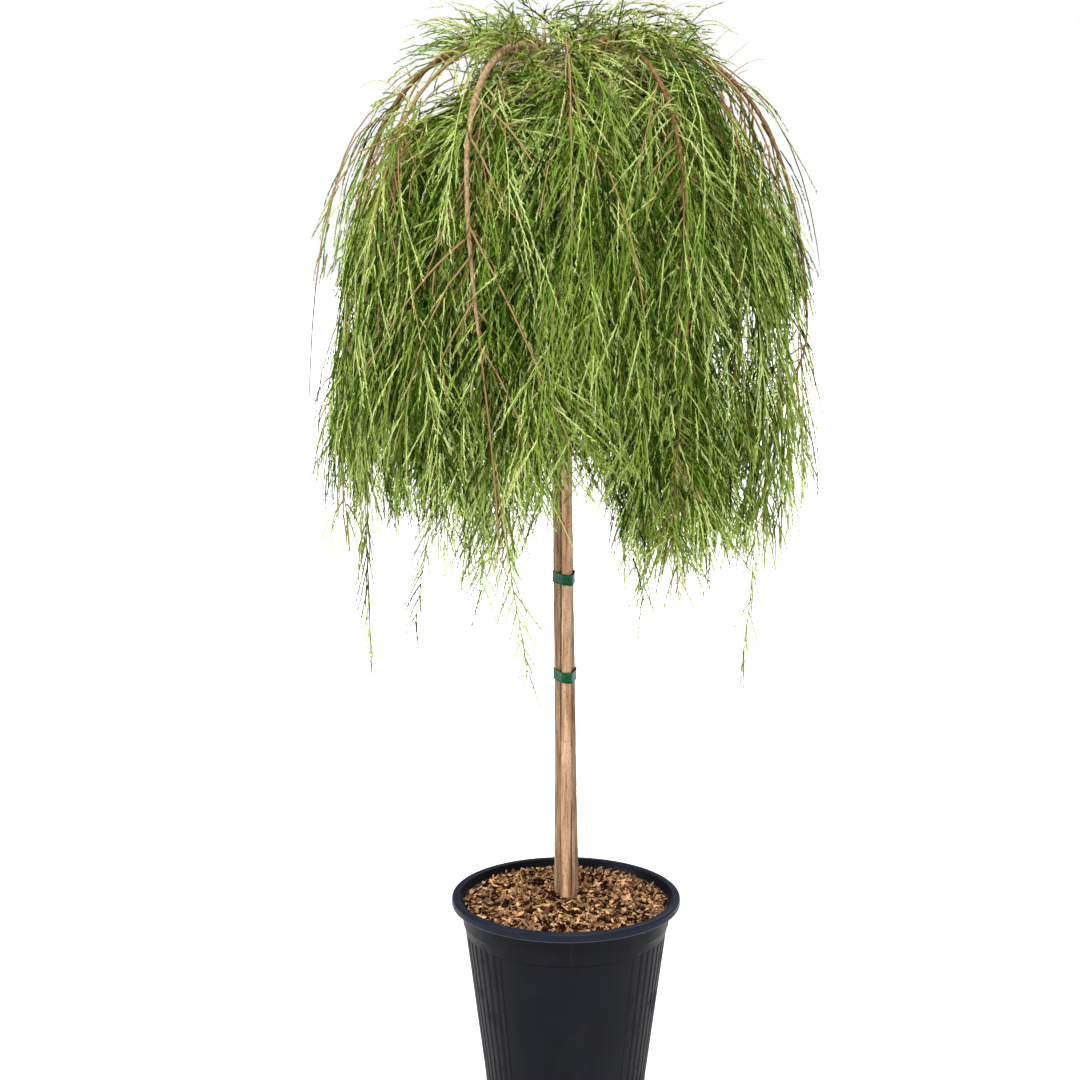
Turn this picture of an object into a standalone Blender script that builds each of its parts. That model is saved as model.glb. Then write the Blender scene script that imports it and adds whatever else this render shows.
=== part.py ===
"""A weeping casuarina grafted on a straight stem, standing in a round nursery pot.

Metres, +Z up. The origin is the middle of the pot's flat underside, +X is the plant's right
hand and -Y its front. Azimuths are degrees from +X, counter-clockwise seen from above.

Every bough leaves the graft knob, arches over and then runs down an imaginary dome. Twigs
leave a bough or a stem to either side along the same dome, and sprays of needles fall from
them. Each mass of foliage keeps to a wedge of the crown of its own.
"""

import math
import random

import bmesh
import bpy
from mathutils import Vector

GAP = 0.0003  # between two pieces that meet
UP = Vector((0, 0, 1))

# --- Pot and fill --------------------------------------------------------------------------
POT_HEIGHT = 0.287
RIM_RADIUS = 0.165
RIM_SKIRT = 0.013  # height of the rolled rim
RIM_LIP = 0.012  # radial width of the rim's flat top
COLLAR_RADIUS = 0.150  # straight band under the rim
COLLAR_FOOT = 0.246
BODY_TOP_RADIUS = 0.1455
BODY_TOP = 0.236
BASE_RADIUS = 0.1165
POT_WALL = 0.003
POT_SIDES = 48
PANEL_HALF_ANGLE = 44  # the smooth panels at front and back
PANEL_TOP = 0.2275
FLUTE_DEPTH = 0.0016
DRAIN_HOLES = 6
DRAIN_RADIUS = 0.009
DRAIN_RING = 0.078
FILL_EDGE = 0.271  # height of the bark mulch at the wall
FILL_CROWN = 0.287  # and round the trunk
FILL_SEAT = 0.040  # radius of the level patch that the trunk stands on

# --- Trunk, companion stem and ties ------------------------------------------------------------
TRUNK_FOOT = FILL_CROWN + GAP
TRUNK_TOP = 1.476
TRUNK_FOOT_RADIUS = 0.0149
TRUNK_NECK_RADIUS = 0.0122
TRUNK_FLARE = 0.0034
FLARE_HEIGHT = 0.150
TRUNK_LEAN = (0.0004, -0.0072)  # X of the axis at the foot and at the neck
KNOB_HEIGHT = 1.450
KNOB_SWELL = 0.0105
KNOB_SPREAD = 0.020
COMPANION_FOOT_RADIUS = 0.0068
COMPANION_TOP_RADIUS = 0.0074
COMPANION_TOP = 1.395
COMPANION_TURN = (-92, -73)  # azimuth at which the companion stands from the trunk, below and above its twist
COMPANION_TWIST = (0.30, 1.00)  # heights between which it shifts round the trunk
STEM_GAP = 0.0008
TIE_HEIGHTS = {"tie_upper": 0.7575, "tie_lower": 0.6165}
TIE_BREADTH = 0.015
TIE_THICKNESS = 0.0012

# --- Crown -------------------------------------------------------------------------------------
DOME_RADIUS = 0.325
DOME_FOOT = 0.85  # height at which the dome's side stands upright
DOME_RISE = 0.65
ROUND = 3.3  # how square the dome's shoulder is: 2 is an ellipse
DIVIDE_HEIGHT = 1.137  # shoulder masses lie above, curtain masses below
DIVIDE_RADIUS = (0.330, 0.385)  # the divide slopes down and out between these radii
DIVIDE_HEM = 0.985
TUFT_RADIUS = 0.108
SPACE_MARGIN = 0.0012
LIMB_MARGIN = 0.0016

BOUGH_BEND = 17  # turn, in degrees down the dome, where a long bough's arch ends
BOUGH_TIP = 76  # and where it enters its curtain mass
SWING_POWER = 1.6
LONG_BOUGHS = {  # name: azimuth, swing of the azimuth at the tip, base radius, dome reach
    "front_left": (-125, 12.6, 0.0058, 0.94),
    "front_right": (-57, -5, 0.0042, 0.99),
    "right": (1, -6, 0.0044, 1.03),
    "back_right": (57, -3, 0.0042, 1.0),
    "back_left": (116, 4, 0.0042, 0.99),
    "left": (180, 5, 0.0046, 0.96),
}
SHORT_BEND = 13
SHORT_BOUGHS = {  # name: azimuth, base radius, dome reach, extra rise, squareness
    "front": (-90, 0.0036, 0.97, 0.0, 3.0),
    "fore_right": (-27, 0.0036, 1.05, 0.0, 3.5),
    "aft_right": (29, 0.0036, 1.05, 0.008, 3.9),
    "back": (87, 0.0036, 0.98, 0.0, 3.2),
    "aft_left": (148, 0.0036, 0.99, 0.008, 3.9),
    "fore_left": (-150, 0.0036, 0.97, 0.0, 3.3),
}
CURTAIN_HEM = 0.735  # height of the crown's lower edge
PARTING = 0.205  # how much higher it is before and behind the trunk
PARTING_HALF = 0.085
LONG_TIPS = {  # the lowest single tip of each curtain mass
    "front_left": 0.555,
    "front_right": 0.590,
    "right": 0.630,
    "back_right": 0.650,
    "back_left": 0.660,
    "left": 0.640,
}
FLARES = ((0.044, 0.062), (0.024, 0.036), (0.005, 0.014))  # how far sprays stand off it, by row
STAGGER = ((0.55, 0.95), (0.30, 0.74), (0.50, 0.97))  # where they leave a twig, by row
SPRAY_HALF_WIDTH = 0.017
CORE_DEPTH = 0.013
CORE_WIDTHS = (0.22, 0.52, 0.40)  # of the room to each side, down the core
CORE_SINKS = (0.0, 0.013, 0.015)  # depth of its middle under the dome, so that only its top meets the stem

# --- Materials: colour, roughness ----------------------------------------------------------------
FINISHES = {
    "pot_plastic": ((0.017, 0.019, 0.025), 0.45),
    "bark_mulch": ((0.20, 0.10, 0.045), 0.9),
    "bark": ((0.40, 0.24, 0.13), 0.8),
    "twig_bark": ((0.30, 0.17, 0.10), 0.75),
    "tie_tape": ((0.006, 0.14, 0.07), 0.4),
    "foliage": ((0.10, 0.22, 0.03), 0.6),
}


# --- Small helpers -------------------------------------------------------------------------------
def clear_scene():
    for thing in list(bpy.data.objects):
        bpy.data.objects.remove(thing)


def finish(slot):
    """The named material, made the first time it is asked for."""
    material = bpy.data.materials.get(slot)
    if material is None:
        colour, roughness = FINISHES[slot]
        material = bpy.data.materials.new(slot)
        material.use_nodes = True
        shader = material.node_tree.nodes["Principled BSDF"]
        shader.inputs["Base Color"].default_value = (*colour, 1)
        shader.inputs["Roughness"].default_value = roughness
    return material


def solid(name, points, faces, slot):
    """An object from points and outward faces."""
    mesh = bpy.data.meshes.new(name)
    mesh.from_pydata([tuple(p) for p in points], [], faces)
    mesh.materials.append(finish(slot))
    thing = bpy.data.objects.new(name, mesh)
    bpy.context.scene.collection.objects.link(thing)
    shell = bmesh.new()
    shell.from_mesh(mesh)
    bmesh.ops.recalc_face_normals(shell, faces=shell.faces)
    shell.to_mesh(mesh)
    shell.free()
    return thing


def polar(radius, azimuth, height):
    angle = math.radians(azimuth)
    return Vector((radius * math.cos(angle), radius * math.sin(angle), height))


def blend(a, b, share):
    return a + (b - a) * share


def tangents(path):
    """The direction of a path at each of its points."""
    ends = [path[0], *path, path[-1]]
    return [(ends[i + 2] - ends[i]).normalized() for i in range(len(path))]


def ring_faces(low, high, sides):
    """The faces between two rings of points."""
    return [(low + k, low + (k + 1) % sides, high + (k + 1) % sides, high + k) for k in range(sides)]


def tube(name, path, radii, sides, slot, ends=(None, None)):
    """A closed round limb along a path, with a flat cap at each end, square to ends if they are given."""
    points, faces = [], []
    alongs = tangents(path)
    alongs[0], alongs[-1] = ends[0] or alongs[0], ends[1] or alongs[-1]
    across = UP.cross(alongs[0])
    if across.length < 0.1:
        across = Vector((1, 0, 0))
    for centre, along, radius in zip(path, alongs, radii):
        across = (across - along * across.dot(along)).normalized()
        beside = along.cross(across)
        for k in range(sides):
            angle = math.tau * k / sides
            points.append(centre + (across * math.cos(angle) + beside * math.sin(angle)) * radius)
    for ring in range(len(path) - 1):
        faces += ring_faces(ring * sides, (ring + 1) * sides, sides)
    faces.append(tuple(reversed(range(sides))))
    faces.append(tuple(range(len(points) - sides, len(points))))
    return solid(name, points, faces, slot)


def drop_scrap(mesh):
    """Leaves only the body with the most corners."""
    shell = bmesh.new()
    shell.from_mesh(mesh)
    unseen, bodies = set(shell.verts), []
    while unseen:
        waiting, body = [unseen.pop()], []
        while waiting:
            vertex = waiting.pop()
            body.append(vertex)
            near = {edge.other_vert(vertex) for edge in vertex.link_edges} & unseen
            unseen -= near
            waiting += near
        bodies.append(body)
    bodies.sort(key=len)
    bmesh.ops.delete(shell, geom=sum(bodies[:-1], []), context="VERTS")
    shell.to_mesh(mesh)
    shell.free()


def join_by_union(body, pieces):
    """Fuses the pieces into the body and removes them."""
    gathered = bpy.data.collections.new(body.name + "_pieces")
    for piece in pieces:
        gathered.objects.link(piece)
    modifier = body.modifiers.new("union", "BOOLEAN")
    modifier.operation = "UNION"
    modifier.operand_type = "COLLECTION"
    modifier.collection = gathered
    modifier.solver = "MANIFOLD"
    graph = bpy.context.evaluated_depsgraph_get()
    fused = bpy.data.meshes.new_from_object(body.evaluated_get(graph))
    body.modifiers.clear()
    body.data = fused
    drop_scrap(fused)
    for piece in pieces:
        bpy.data.objects.remove(piece)
    bpy.data.collections.remove(gathered)


# --- Pot and fill ------------------------------------------------------------------------------
def fluted(azimuth, radius, height):
    """The body's radius with its upright flutes, which stop at the two smooth panels."""
    off_panel = min(abs(abs(azimuth) - 90), 90)
    on_body = 0.008 < height < BODY_TOP
    if on_body and off_panel < 90 - PANEL_HALF_ANGLE:
        return radius - FLUTE_DEPTH * (round(azimuth * POT_SIDES / 360) % 2)
    return radius


def pot_profile():
    """Radius and height of the wall, from the outer edge of the underside round to the floor."""
    skirt_foot = POT_HEIGHT - RIM_SKIRT
    lip = RIM_RADIUS - RIM_LIP
    outside = [
        (BASE_RADIUS - 0.006, 0.0),
        (BASE_RADIUS, 0.009),
        (BODY_TOP_RADIUS, BODY_TOP),
        (COLLAR_RADIUS - 0.002, COLLAR_FOOT),
        (COLLAR_RADIUS, skirt_foot + 0.001),
        (RIM_RADIUS - 0.004, skirt_foot),
        (RIM_RADIUS, skirt_foot + 0.004),
        (RIM_RADIUS, POT_HEIGHT - 0.004),
        (RIM_RADIUS - 0.004, POT_HEIGHT),
    ]
    inside = [
        (lip, POT_HEIGHT),
        (COLLAR_RADIUS - POT_WALL, skirt_foot),
        (COLLAR_RADIUS - 0.002 - POT_WALL, COLLAR_FOOT + 0.001),
        (BODY_TOP_RADIUS - POT_WALL, BODY_TOP),
        (BASE_RADIUS - POT_WALL - 0.0005, POT_WALL),
    ]
    return outside, inside


def make_pot():
    outside, inside = pot_profile()
    profile = outside + inside
    points = []
    for index, (radius, height) in enumerate(profile):
        for k in range(POT_SIDES):
            azimuth = 360 * k / POT_SIDES - 180
            shaped = fluted(azimuth, radius, height) if index < len(outside) else radius
            points.append(polar(shaped, azimuth, height))
    faces = []
    for ring in range(len(profile) - 1):
        faces += ring_faces(ring * POT_SIDES, (ring + 1) * POT_SIDES, POT_SIDES)
    faces.append(tuple(range(POT_SIDES)))
    faces.append(tuple(range(len(points) - POT_SIDES, len(points))))
    pot = solid("pot", points, faces, "pot_plastic")
    for hole in range(DRAIN_HOLES):
        centre = polar(DRAIN_RING, 360 * (hole + 0.5) / DRAIN_HOLES, 0)
        ends = [centre - UP * 0.01, centre + UP * 0.01]
        cutter = tube("drain_cutter", ends, [DRAIN_RADIUS] * 2, 10, "pot_plastic")
        modifier = pot.modifiers.new("drain", "BOOLEAN")
        modifier.object = cutter
        modifier.operation = "DIFFERENCE"
        graph = bpy.context.evaluated_depsgraph_get()
        cut = bpy.data.meshes.new_from_object(pot.evaluated_get(graph))
        pot.modifiers.clear()
        pot.data = cut
        bpy.data.objects.remove(cutter)


def make_fill():
    """The potting mix and its bark mulch: the pot's inside, heaped a little round the trunk."""
    inside = [p for p in reversed(pot_profile()[1]) if p[1] < FILL_EDGE]
    wall_radius, wall_height = inside[-1]
    rings = [(radius - GAP * 2, height) for radius, height in inside]
    rings[0] = (rings[0][0], POT_WALL + GAP * 2)
    rings.append((wall_radius + (FILL_EDGE - wall_height) * 0.05 - GAP * 2, FILL_EDGE))
    heap_radius = rings[-1][0]
    for share in (0.72, 0.45):
        radius = blend(FILL_SEAT, heap_radius, share)
        height = blend(FILL_EDGE, FILL_CROWN, math.cos(share * math.pi / 2) ** 0.8)
        rings.append((radius, height))
    rings.append((FILL_SEAT, FILL_CROWN))
    sides = POT_SIDES // 2
    points = [polar(radius, 360 * k / sides, height) for radius, height in rings for k in range(sides)]
    faces = []
    for ring in range(len(rings) - 1):
        faces += ring_faces(ring * sides, (ring + 1) * sides, sides)
    faces.append(tuple(range(sides)))
    faces.append(tuple(range(len(points) - sides, len(points))))
    solid("bark_mulch", points, faces, "bark_mulch")


# --- Trunk, companion and ties --------------------------------------------------------------------
def trunk_axis(height):
    share = (height - TRUNK_FOOT) / (TRUNK_TOP - TRUNK_FOOT)
    sway = 0.0006 * math.sin(share * 9)
    return Vector((blend(*TRUNK_LEAN, min(share * 1.6, 1)) * (1 - 0.9 * share ** 6) + sway, 0, height))


def trunk_radius(height):
    """Taper, root flare and the swelling at the graft."""
    share = (height - TRUNK_FOOT) / (TRUNK_TOP - TRUNK_FOOT)
    taper = blend(TRUNK_FOOT_RADIUS, TRUNK_NECK_RADIUS, share)
    flare = TRUNK_FLARE * math.exp(-(height - TRUNK_FOOT) / FLARE_HEIGHT)
    knob = KNOB_SWELL * math.exp(-(((height - KNOB_HEIGHT) / KNOB_SPREAD) ** 2))
    return taper + flare + knob


def companion_radius(height):
    share = (height - TRUNK_FOOT) / (COMPANION_TOP - TRUNK_FOOT)
    return blend(COMPANION_FOOT_RADIUS, COMPANION_TOP_RADIUS, share)


def companion_axis(height):
    """In front of the trunk, shifting to its right above the foot, and just clear of it."""
    low, high = COMPANION_TWIST
    share = min(max((height - low) / (high - low), 0), 1)
    apart = trunk_radius(height) + companion_radius(height) + STEM_GAP
    azimuth = blend(*COMPANION_TURN, share * share * (3 - 2 * share))
    return trunk_axis(height) + polar(apart, azimuth, 0)


def heights_between(low, high, steps, crowd=1.0):
    return [blend(low, high, (k / steps) ** crowd) for k in range(steps + 1)]


def make_trunk():
    lower = heights_between(TRUNK_FOOT, COMPANION_TOP, 13, 1.35)
    knob = heights_between(1.415, TRUNK_TOP, 5)
    heights = lower + knob
    radii = [trunk_radius(h) for h in heights]
    radii[-1] *= 0.72
    path = [trunk_axis(h) for h in heights]
    path.insert(1, path[0] + UP * 0.003)
    tube("trunk", path, [radii[0], trunk_radius(heights[0] + 0.003), *radii[1:]], 12, "bark")
    rise = heights_between(TRUNK_FOOT + 0.003, COMPANION_TOP, 17)
    path = [companion_axis(h) for h in rise]
    path.insert(0, path[0] - UP * 0.003)  # its foot stands square on the mulch
    radii = [companion_radius(h) for h in rise]
    tube("companion_stem", path, [radii[0], *radii], 9, "bark")


def wrap_outline(height, offset, directions):
    """The taut outline round both stems at one height."""
    stems = [(trunk_axis(height), trunk_radius(height)), (companion_axis(height), companion_radius(height))]
    outline = []
    for k in range(directions):
        facing = polar(1, 360 * k / directions, 0)
        centre, radius = max(stems, key=lambda stem: stem[0].dot(facing) + stem[1])
        outline.append(centre + facing * (radius + offset))
    return outline


def make_tie(name, height):
    """A band of tape round the trunk and its companion."""
    directions = 16
    points = []
    outer = STEM_GAP + TIE_THICKNESS
    for offset, rise in ((STEM_GAP, -1), (outer, -1), (outer, 1), (STEM_GAP, 1)):
        outline = wrap_outline(height, offset, directions)
        points += [p + UP * rise * TIE_BREADTH / 2 for p in outline]
    faces = []
    for ring in range(4):
        low, high = ring * directions, (ring + 1) % 4 * directions
        faces += ring_faces(low, high, directions)
    solid(name, points, faces, "tie_tape")


# --- The dome that the crown hangs on ----------------------------------------------------------
def dome(turn, azimuth, form):
    """The point that lies turn degrees down the dome, from 0 at the top to 90 at its upright side."""
    reach, rise, square = form
    angle = math.radians(min(turn, 90))
    out = DOME_RADIUS * reach * math.sin(angle) ** (2 / square)
    height = DOME_FOOT + (DOME_RISE + rise) * max(math.cos(angle), 0) ** (2 / square)
    return polar(out, azimuth, height - math.radians(max(turn - 90, 0)) * DOME_RADIUS)


def slope(turn, azimuth, form):
    """The direction down the dome at a turn."""
    return (dome(turn + 0.5, azimuth, form) - dome(turn - 0.5, azimuth, form)).normalized()


def down_dome(turn, azimuth, form, length, steps):
    """Evenly spaced points down the dome from a turn, over a length of its surface."""
    points = [dome(turn, azimuth, form)]
    for _ in range(steps):
        while (dome(turn, azimuth, form) - points[-1]).length < length / steps:
            turn += 0.4
        points.append(dome(turn, azimuth, form))
    return points


def bezier(a, b, c, d, share):
    rest = 1 - share
    return a * rest**3 + b * 3 * rest**2 * share + c * 3 * rest * share**2 + d * share**3


def arch_path(azimuth, exit_height, climb, bend, form, base_radius, steps):
    """From the knob, up and over to the dome, which it joins in line."""
    out = polar(1, azimuth, 0)
    leave = (out + UP * climb).normalized()
    centre = trunk_axis(exit_height)
    start = centre + out * (trunk_radius(exit_height) + GAP * 2 + leave.z * base_radius)
    end = dome(bend, azimuth, form)
    along = slope(bend, azimuth, form)
    span = (end - start).length
    near, far = start + leave * span * 0.42, end - along * span * 0.40
    return [bezier(start, near, far, end, k / steps) for k in range(steps + 1)]


def swung(azimuth, swing, turn):
    """A bough's azimuth at a turn, as it swings on its way down."""
    share = max((turn - BOUGH_BEND) / (BOUGH_TIP - BOUGH_BEND), 0)
    return azimuth + swing * share**SWING_POWER


def dome_path(azimuth, swing, form, first, last, steps):
    """Down the dome between two turns."""
    turns = [blend(first, last, k / steps) for k in range(steps + 1)]
    return [dome(turn, swung(azimuth, swing, turn), form) for turn in turns]


def tapered(base, tip, count):
    return [blend(base, tip, k / (count - 1)) for k in range(count)]


LIMBS = []  # (point, radius) along every limb, for keeping foliage clear


def make_limb(name, path, radii, sides, ends):
    tube(name, path, radii, sides, "twig_bark", ends)
    for (a, ra), (b, rb) in zip(zip(path, radii), zip(path[1:], radii[1:])):
        pieces = max(2, int((b - a).length / 0.006))
        LIMBS.extend((a.lerp(b, k / pieces), blend(ra, rb, k / pieces)) for k in range(pieces + 1))


def make_long_bough(name, azimuth, swing, radius, reach):
    """An arch over the shoulder and the limb that drops from it, split at the bend."""
    form = (reach, 0, ROUND)
    arch = arch_path(azimuth, KNOB_HEIGHT - 0.004, 0.75, BOUGH_BEND, form, radius, 6)
    bend = slope(BOUGH_BEND, azimuth, form)
    make_limb(f"bough_{name}_arch", arch, tapered(radius, radius * 0.88, len(arch)), 7, (None, bend))
    drop = dome_path(azimuth, swing, form, BOUGH_BEND, BOUGH_TIP, 7)
    drop[0] += bend * GAP
    tip = slope(BOUGH_TIP, azimuth + swing, form)
    make_limb(f"bough_{name}_drop", drop, tapered(radius * 0.86, radius * 0.55, len(drop)), 6, (bend, tip))


def make_short_bough(name, azimuth, radius, form):
    arch = arch_path(azimuth, KNOB_HEIGHT + 0.0165, 1.25, SHORT_BEND, form, radius, 5)
    tip = slope(SHORT_BEND, azimuth, form)
    make_limb(f"bough_{name}", arch, tapered(radius, radius * 0.8, len(arch)), 6, (None, tip))


# --- Foliage -----------------------------------------------------------------------------------
def rising_path(start, heading, length, nod, steps):
    """A young tip's line: up along its heading, and over at the end by the share nod."""
    points = [start]
    for k in range(steps):
        share = (k / (steps - 1)) ** 1.6 * nod
        direction = heading.normalized().lerp(-UP, share).normalized()
        points.append(points[-1] + direction * length / steps)
    return points


def toothed_blade(name, path, facing, half_width, slot="foliage"):
    """A spray of needles: a slim ridged blade, pointed at both ends, with teeth down both sides."""
    length = sum((b - a).length for a, b in zip(path, path[1:]))
    ridge = max(0.0022, length * 0.0125)
    last = len(path) - 1
    points, rows = [path[0]], []
    for level, along in enumerate(tangents(path)):
        if level in (0, last):
            continue
        centre, following = path[level], path[level + 1]
        across = along.cross(facing).normalized()
        out = across.cross(along).normalized()
        if out.dot(facing) < 0:
            out = -out
        narrow = 1 - 0.5 * level / last
        rows.append(len(points))
        points.append(centre + out * ridge * narrow)
        points += [centre + across * half_width * side * 0.22 * narrow for side in (1, -1)]
        if level < last - 1:
            tip = following + along * (following - centre).length * 0.22
            points += [tip + across * half_width * side * narrow for side in (1, -1)]
    points.append(path[last])
    faces = []
    for here, after in zip(rows, rows[1:]):
        for side in (1, 2):
            notch, tooth, later = here + side, here + 2 + side, after + side
            faces += [(here, notch, tooth), (here, tooth, later)]
            faces += [(here, later, after), (notch, tooth, later)]
        faces.append((here + 1, here + 2, after + 2, after + 1))
    for point, row in ((0, rows[0]), (len(points) - 1, rows[-1])):
        faces += [(point, row, row + 1), (point, row, row + 2), (point, row + 1, row + 2)]
    return solid(name, points, faces, slot)


def clear_of_limbs(points, margin=LIMB_MARGIN):
    return all((point - centre).length > radius + margin for point in points for centre, radius in LIMBS)


def divide_height(radius):
    """Height of the surface that parts shoulder masses from the curtain masses under them."""
    inner, outer = DIVIDE_RADIUS
    share = min(max((radius - inner) / (outer - inner), 0), 1)
    return blend(DIVIDE_HEIGHT, DIVIDE_HEM, share)


class Space:
    """The wedge of the crown that one mass keeps to."""

    def __init__(self, first, last, tier):
        self.middle, self.half = (first + last) / 2, (last - first) / 2
        self.tier = tier

    def holds(self, point):
        radius = math.hypot(point.x, point.y)
        if self.tier == "tuft":
            return radius < TUFT_RADIUS - SPACE_MARGIN and point.z > TRUNK_TOP
        if self.tier == "shoulder" and radius < TUFT_RADIUS + SPACE_MARGIN:
            return False
        off = (math.degrees(math.atan2(point.y, point.x)) - self.middle + 180) % 360 - 180
        if radius * math.sin(math.radians(self.half - abs(off))) < SPACE_MARGIN:
            return False
        if self.tier == "shoulder":
            return point.z > divide_height(radius) + SPACE_MARGIN
        return point.z < divide_height(radius) - SPACE_MARGIN

    def holds_all(self, thing):
        return all(self.holds(vertex.co) for vertex in thing.data.vertices)


class Mass:
    """One node of foliage: a stem, the twigs that branch from it, a slim core and sprays of needles."""

    def __init__(self, name, space, line, form, seed):
        self.name, self.space, self.line, self.form = name, space, line, form
        self.dice = random.Random(seed)
        self.pieces = []

    def azimuth(self, turn):
        """The stem's azimuth at a turn."""
        return swung(*self.line, turn)

    def keep(self, piece):
        """Keeps a piece that stays in the space and off the limbs, and removes any other."""
        if self.space.holds_all(piece) and clear_of_limbs([v.co for v in piece.data.vertices]):
            self.pieces.append(piece)
            return True
        bpy.data.objects.remove(piece)
        return False

    def facing(self, root):
        outward = Vector((root.x, root.y, 0)).normalized()
        tilt = Vector((self.dice.uniform(-0.4, 0.4), self.dice.uniform(-0.4, 0.4), 0.25))
        return (outward + tilt).normalized()

    def spray(self, root, turn, azimuth, length, half_width, row, steps=5):
        """A spray that hangs over the dome and stands off it, shortened to fit its space or left out."""
        flare, drift = self.dice.uniform(*FLARES[row]), self.dice.uniform(-1.2, 1.2)
        facing = self.facing(root)
        for shrink in (1.0, 0.82, 0.64):
            path = down_dome(turn, azimuth, self.form, length * shrink, steps)
            for k, point in enumerate(path):
                share = k / steps
                out = math.hypot(point.x, point.y) + flare * (1 - (1 - share) ** 2.2)
                path[k] = polar(out, azimuth + drift * share, point.z)
            path[0] = root
            if self.keep(toothed_blade(self.name + "_spray", path, facing, half_width)):
                return

    def young_tip(self, root, heading, length, nod):
        """A short spray that stands up before it nods."""
        path = rising_path(root, heading, length, nod, 4)
        self.keep(toothed_blade(self.name + "_tip", path, self.facing(root), 0.0065))

    def twig(self, side, turn, spread, drop, steps=3):
        """From the stem out to one side along the dome. Returns its turns, azimuths and points."""
        line = []
        for k in range(steps + 1):
            share = k / steps
            azimuth = self.azimuth(turn) + side * spread * (1 - (1 - share) ** 1.7)
            spot = (turn + drop * share**1.4, azimuth)
            line.append((*spot, dome(*spot, self.form)))
        path = [point for _, _, point in line]
        path[0] = along_path(self.path, self.turns, turn)
        piece = tube(self.name + "_twig", path, tapered(0.0019, 0.0013, len(path)), 3, "twig_bark")
        return line if self.keep(piece) else []

    def grow_stem(self, turns, radii):
        """The stem, from just clear of the bough's tip."""
        self.turns = turns
        self.path = [dome(turn, self.azimuth(turn), self.form) for turn in turns]
        start = slope(turns[0], self.azimuth(turns[0]), self.form)
        self.path[0] += start * GAP
        self.stem = tube(self.name, self.path, tapered(*radii, len(turns)), 4, "twig_bark", (start, None))

    def core(self, room, turns, teeth):
        """A slim curved leaf under the dome that touches the stem, its hem cut in teeth."""
        columns, rows = 4, len(CORE_WIDTHS) - 1
        outer, inner = [], []
        for row in range(rows + 1):
            for column in range(columns + 1):
                across = 2 * column / columns - 1
                turn = blend(*turns, row / rows)
                spread = room[across > 0] * CORE_WIDTHS[row]
                hang = teeth * (column % 2) if row == rows else 0
                point = dome(turn + hang, self.azimuth(turn) + spread * across, self.form)
                inward = Vector((-point.x, -point.y, -0.16)).normalized()
                sink = CORE_SINKS[row] if across == 0 else CORE_SINKS[-1]
                outer.append(point + inward * sink)
                inner.append(point + inward * (sink + CORE_DEPTH * (1 - 0.4 * row / rows)))
        wide = columns + 1
        count = len(outer)
        faces = []
        for row in range(rows):
            for column in range(columns):
                corner = row * wide + column
                quad = (corner, corner + 1, corner + wide + 1, corner + wide)
                faces += [quad, tuple(count + k for k in reversed(quad))]
        edge = list(range(wide)) + [r * wide + columns for r in range(1, rows + 1)]
        edge += [rows * wide + c for c in range(columns - 1, -1, -1)]
        edge += [r * wide for r in range(rows - 1, 0, -1)]
        faces += [(b, a, count + a, count + b) for a, b in zip(edge, edge[1:] + edge[:1])]
        self.keep(solid(self.name + "_core", outer + inner, faces, "foliage"))

    def fuse(self):
        self.stem.name = self.name
        self.stem.data.materials.clear()
        self.stem.data.materials.append(finish("foliage"))
        join_by_union(self.stem, self.pieces)


def along_path(path, turns, turn):
    """The point on a path of straight pieces at a turn between its turns."""
    for here, after, a, b in zip(turns, turns[1:], path, path[1:]):
        if turn <= after:
            return a.lerp(b, (turn - here) / (after - here))
    return path[-1]


def line_at(line, share):
    """Point, turn and azimuth at a share of a twig's line."""
    spot = share * (len(line) - 1)
    index = min(int(spot), len(line) - 2)
    (turn, azimuth, point), (turn_after, azimuth_after, after) = line[index], line[index + 1]
    rest = spot - index
    return point.lerp(after, rest), blend(turn, turn_after, rest), blend(azimuth, azimuth_after, rest)


def make_shoulder(name, half, seed):
    """A mass that covers the crown's shoulder and hangs over the curtain under it."""
    azimuth, radius, *form = SHORT_BOUGHS[name]
    space = Space(azimuth - half, azimuth + half, "shoulder")
    mass = Mass(f"foliage_shoulder_{name}", space, (azimuth, 0), form, seed)
    dice = mass.dice
    mass.grow_stem([blend(SHORT_BEND, 61, k / 6) for k in range(7)], (radius * 0.76, 0.0021))
    mass.core((half, half), (22, 58), 6)
    for row, turn in enumerate((18, 31, 45)):
        for side in (-1, 1):
            line = mass.twig(side, turn + side, half * dice.uniform(0.68, 0.76), 15)
            for share in STAGGER[row] if line else ():
                length = (0.130 + 0.0013 * turn) * dice.uniform(0.85, 1.2)
                mass.spray(*line_at(line, share), length, SPRAY_HALF_WIDTH, row)
    for row, turn in ((0, 33), (2, 58)):
        root = along_path(mass.path, mass.turns, turn)
        mass.spray(root, turn, azimuth, 0.18 * dice.uniform(0.9, 1.15), SPRAY_HALF_WIDTH, row, 6)
    for side in (-1, 0, 1):
        root = along_path(mass.path, mass.turns, 19 + 4 * side)
        heading = polar(0.45, azimuth + side * 70, 0) + UP
        mass.young_tip(root, heading, dice.uniform(0.075, 0.095), 0.55)
    mass.fuse()


def hem_at(azimuth):
    """Height of the crown's lower edge, which parts before and behind the trunk."""
    across = DOME_RADIUS * math.cos(math.radians(azimuth))
    return CURTAIN_HEM + PARTING * math.exp(-((across / PARTING_HALF) ** 2))


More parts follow.
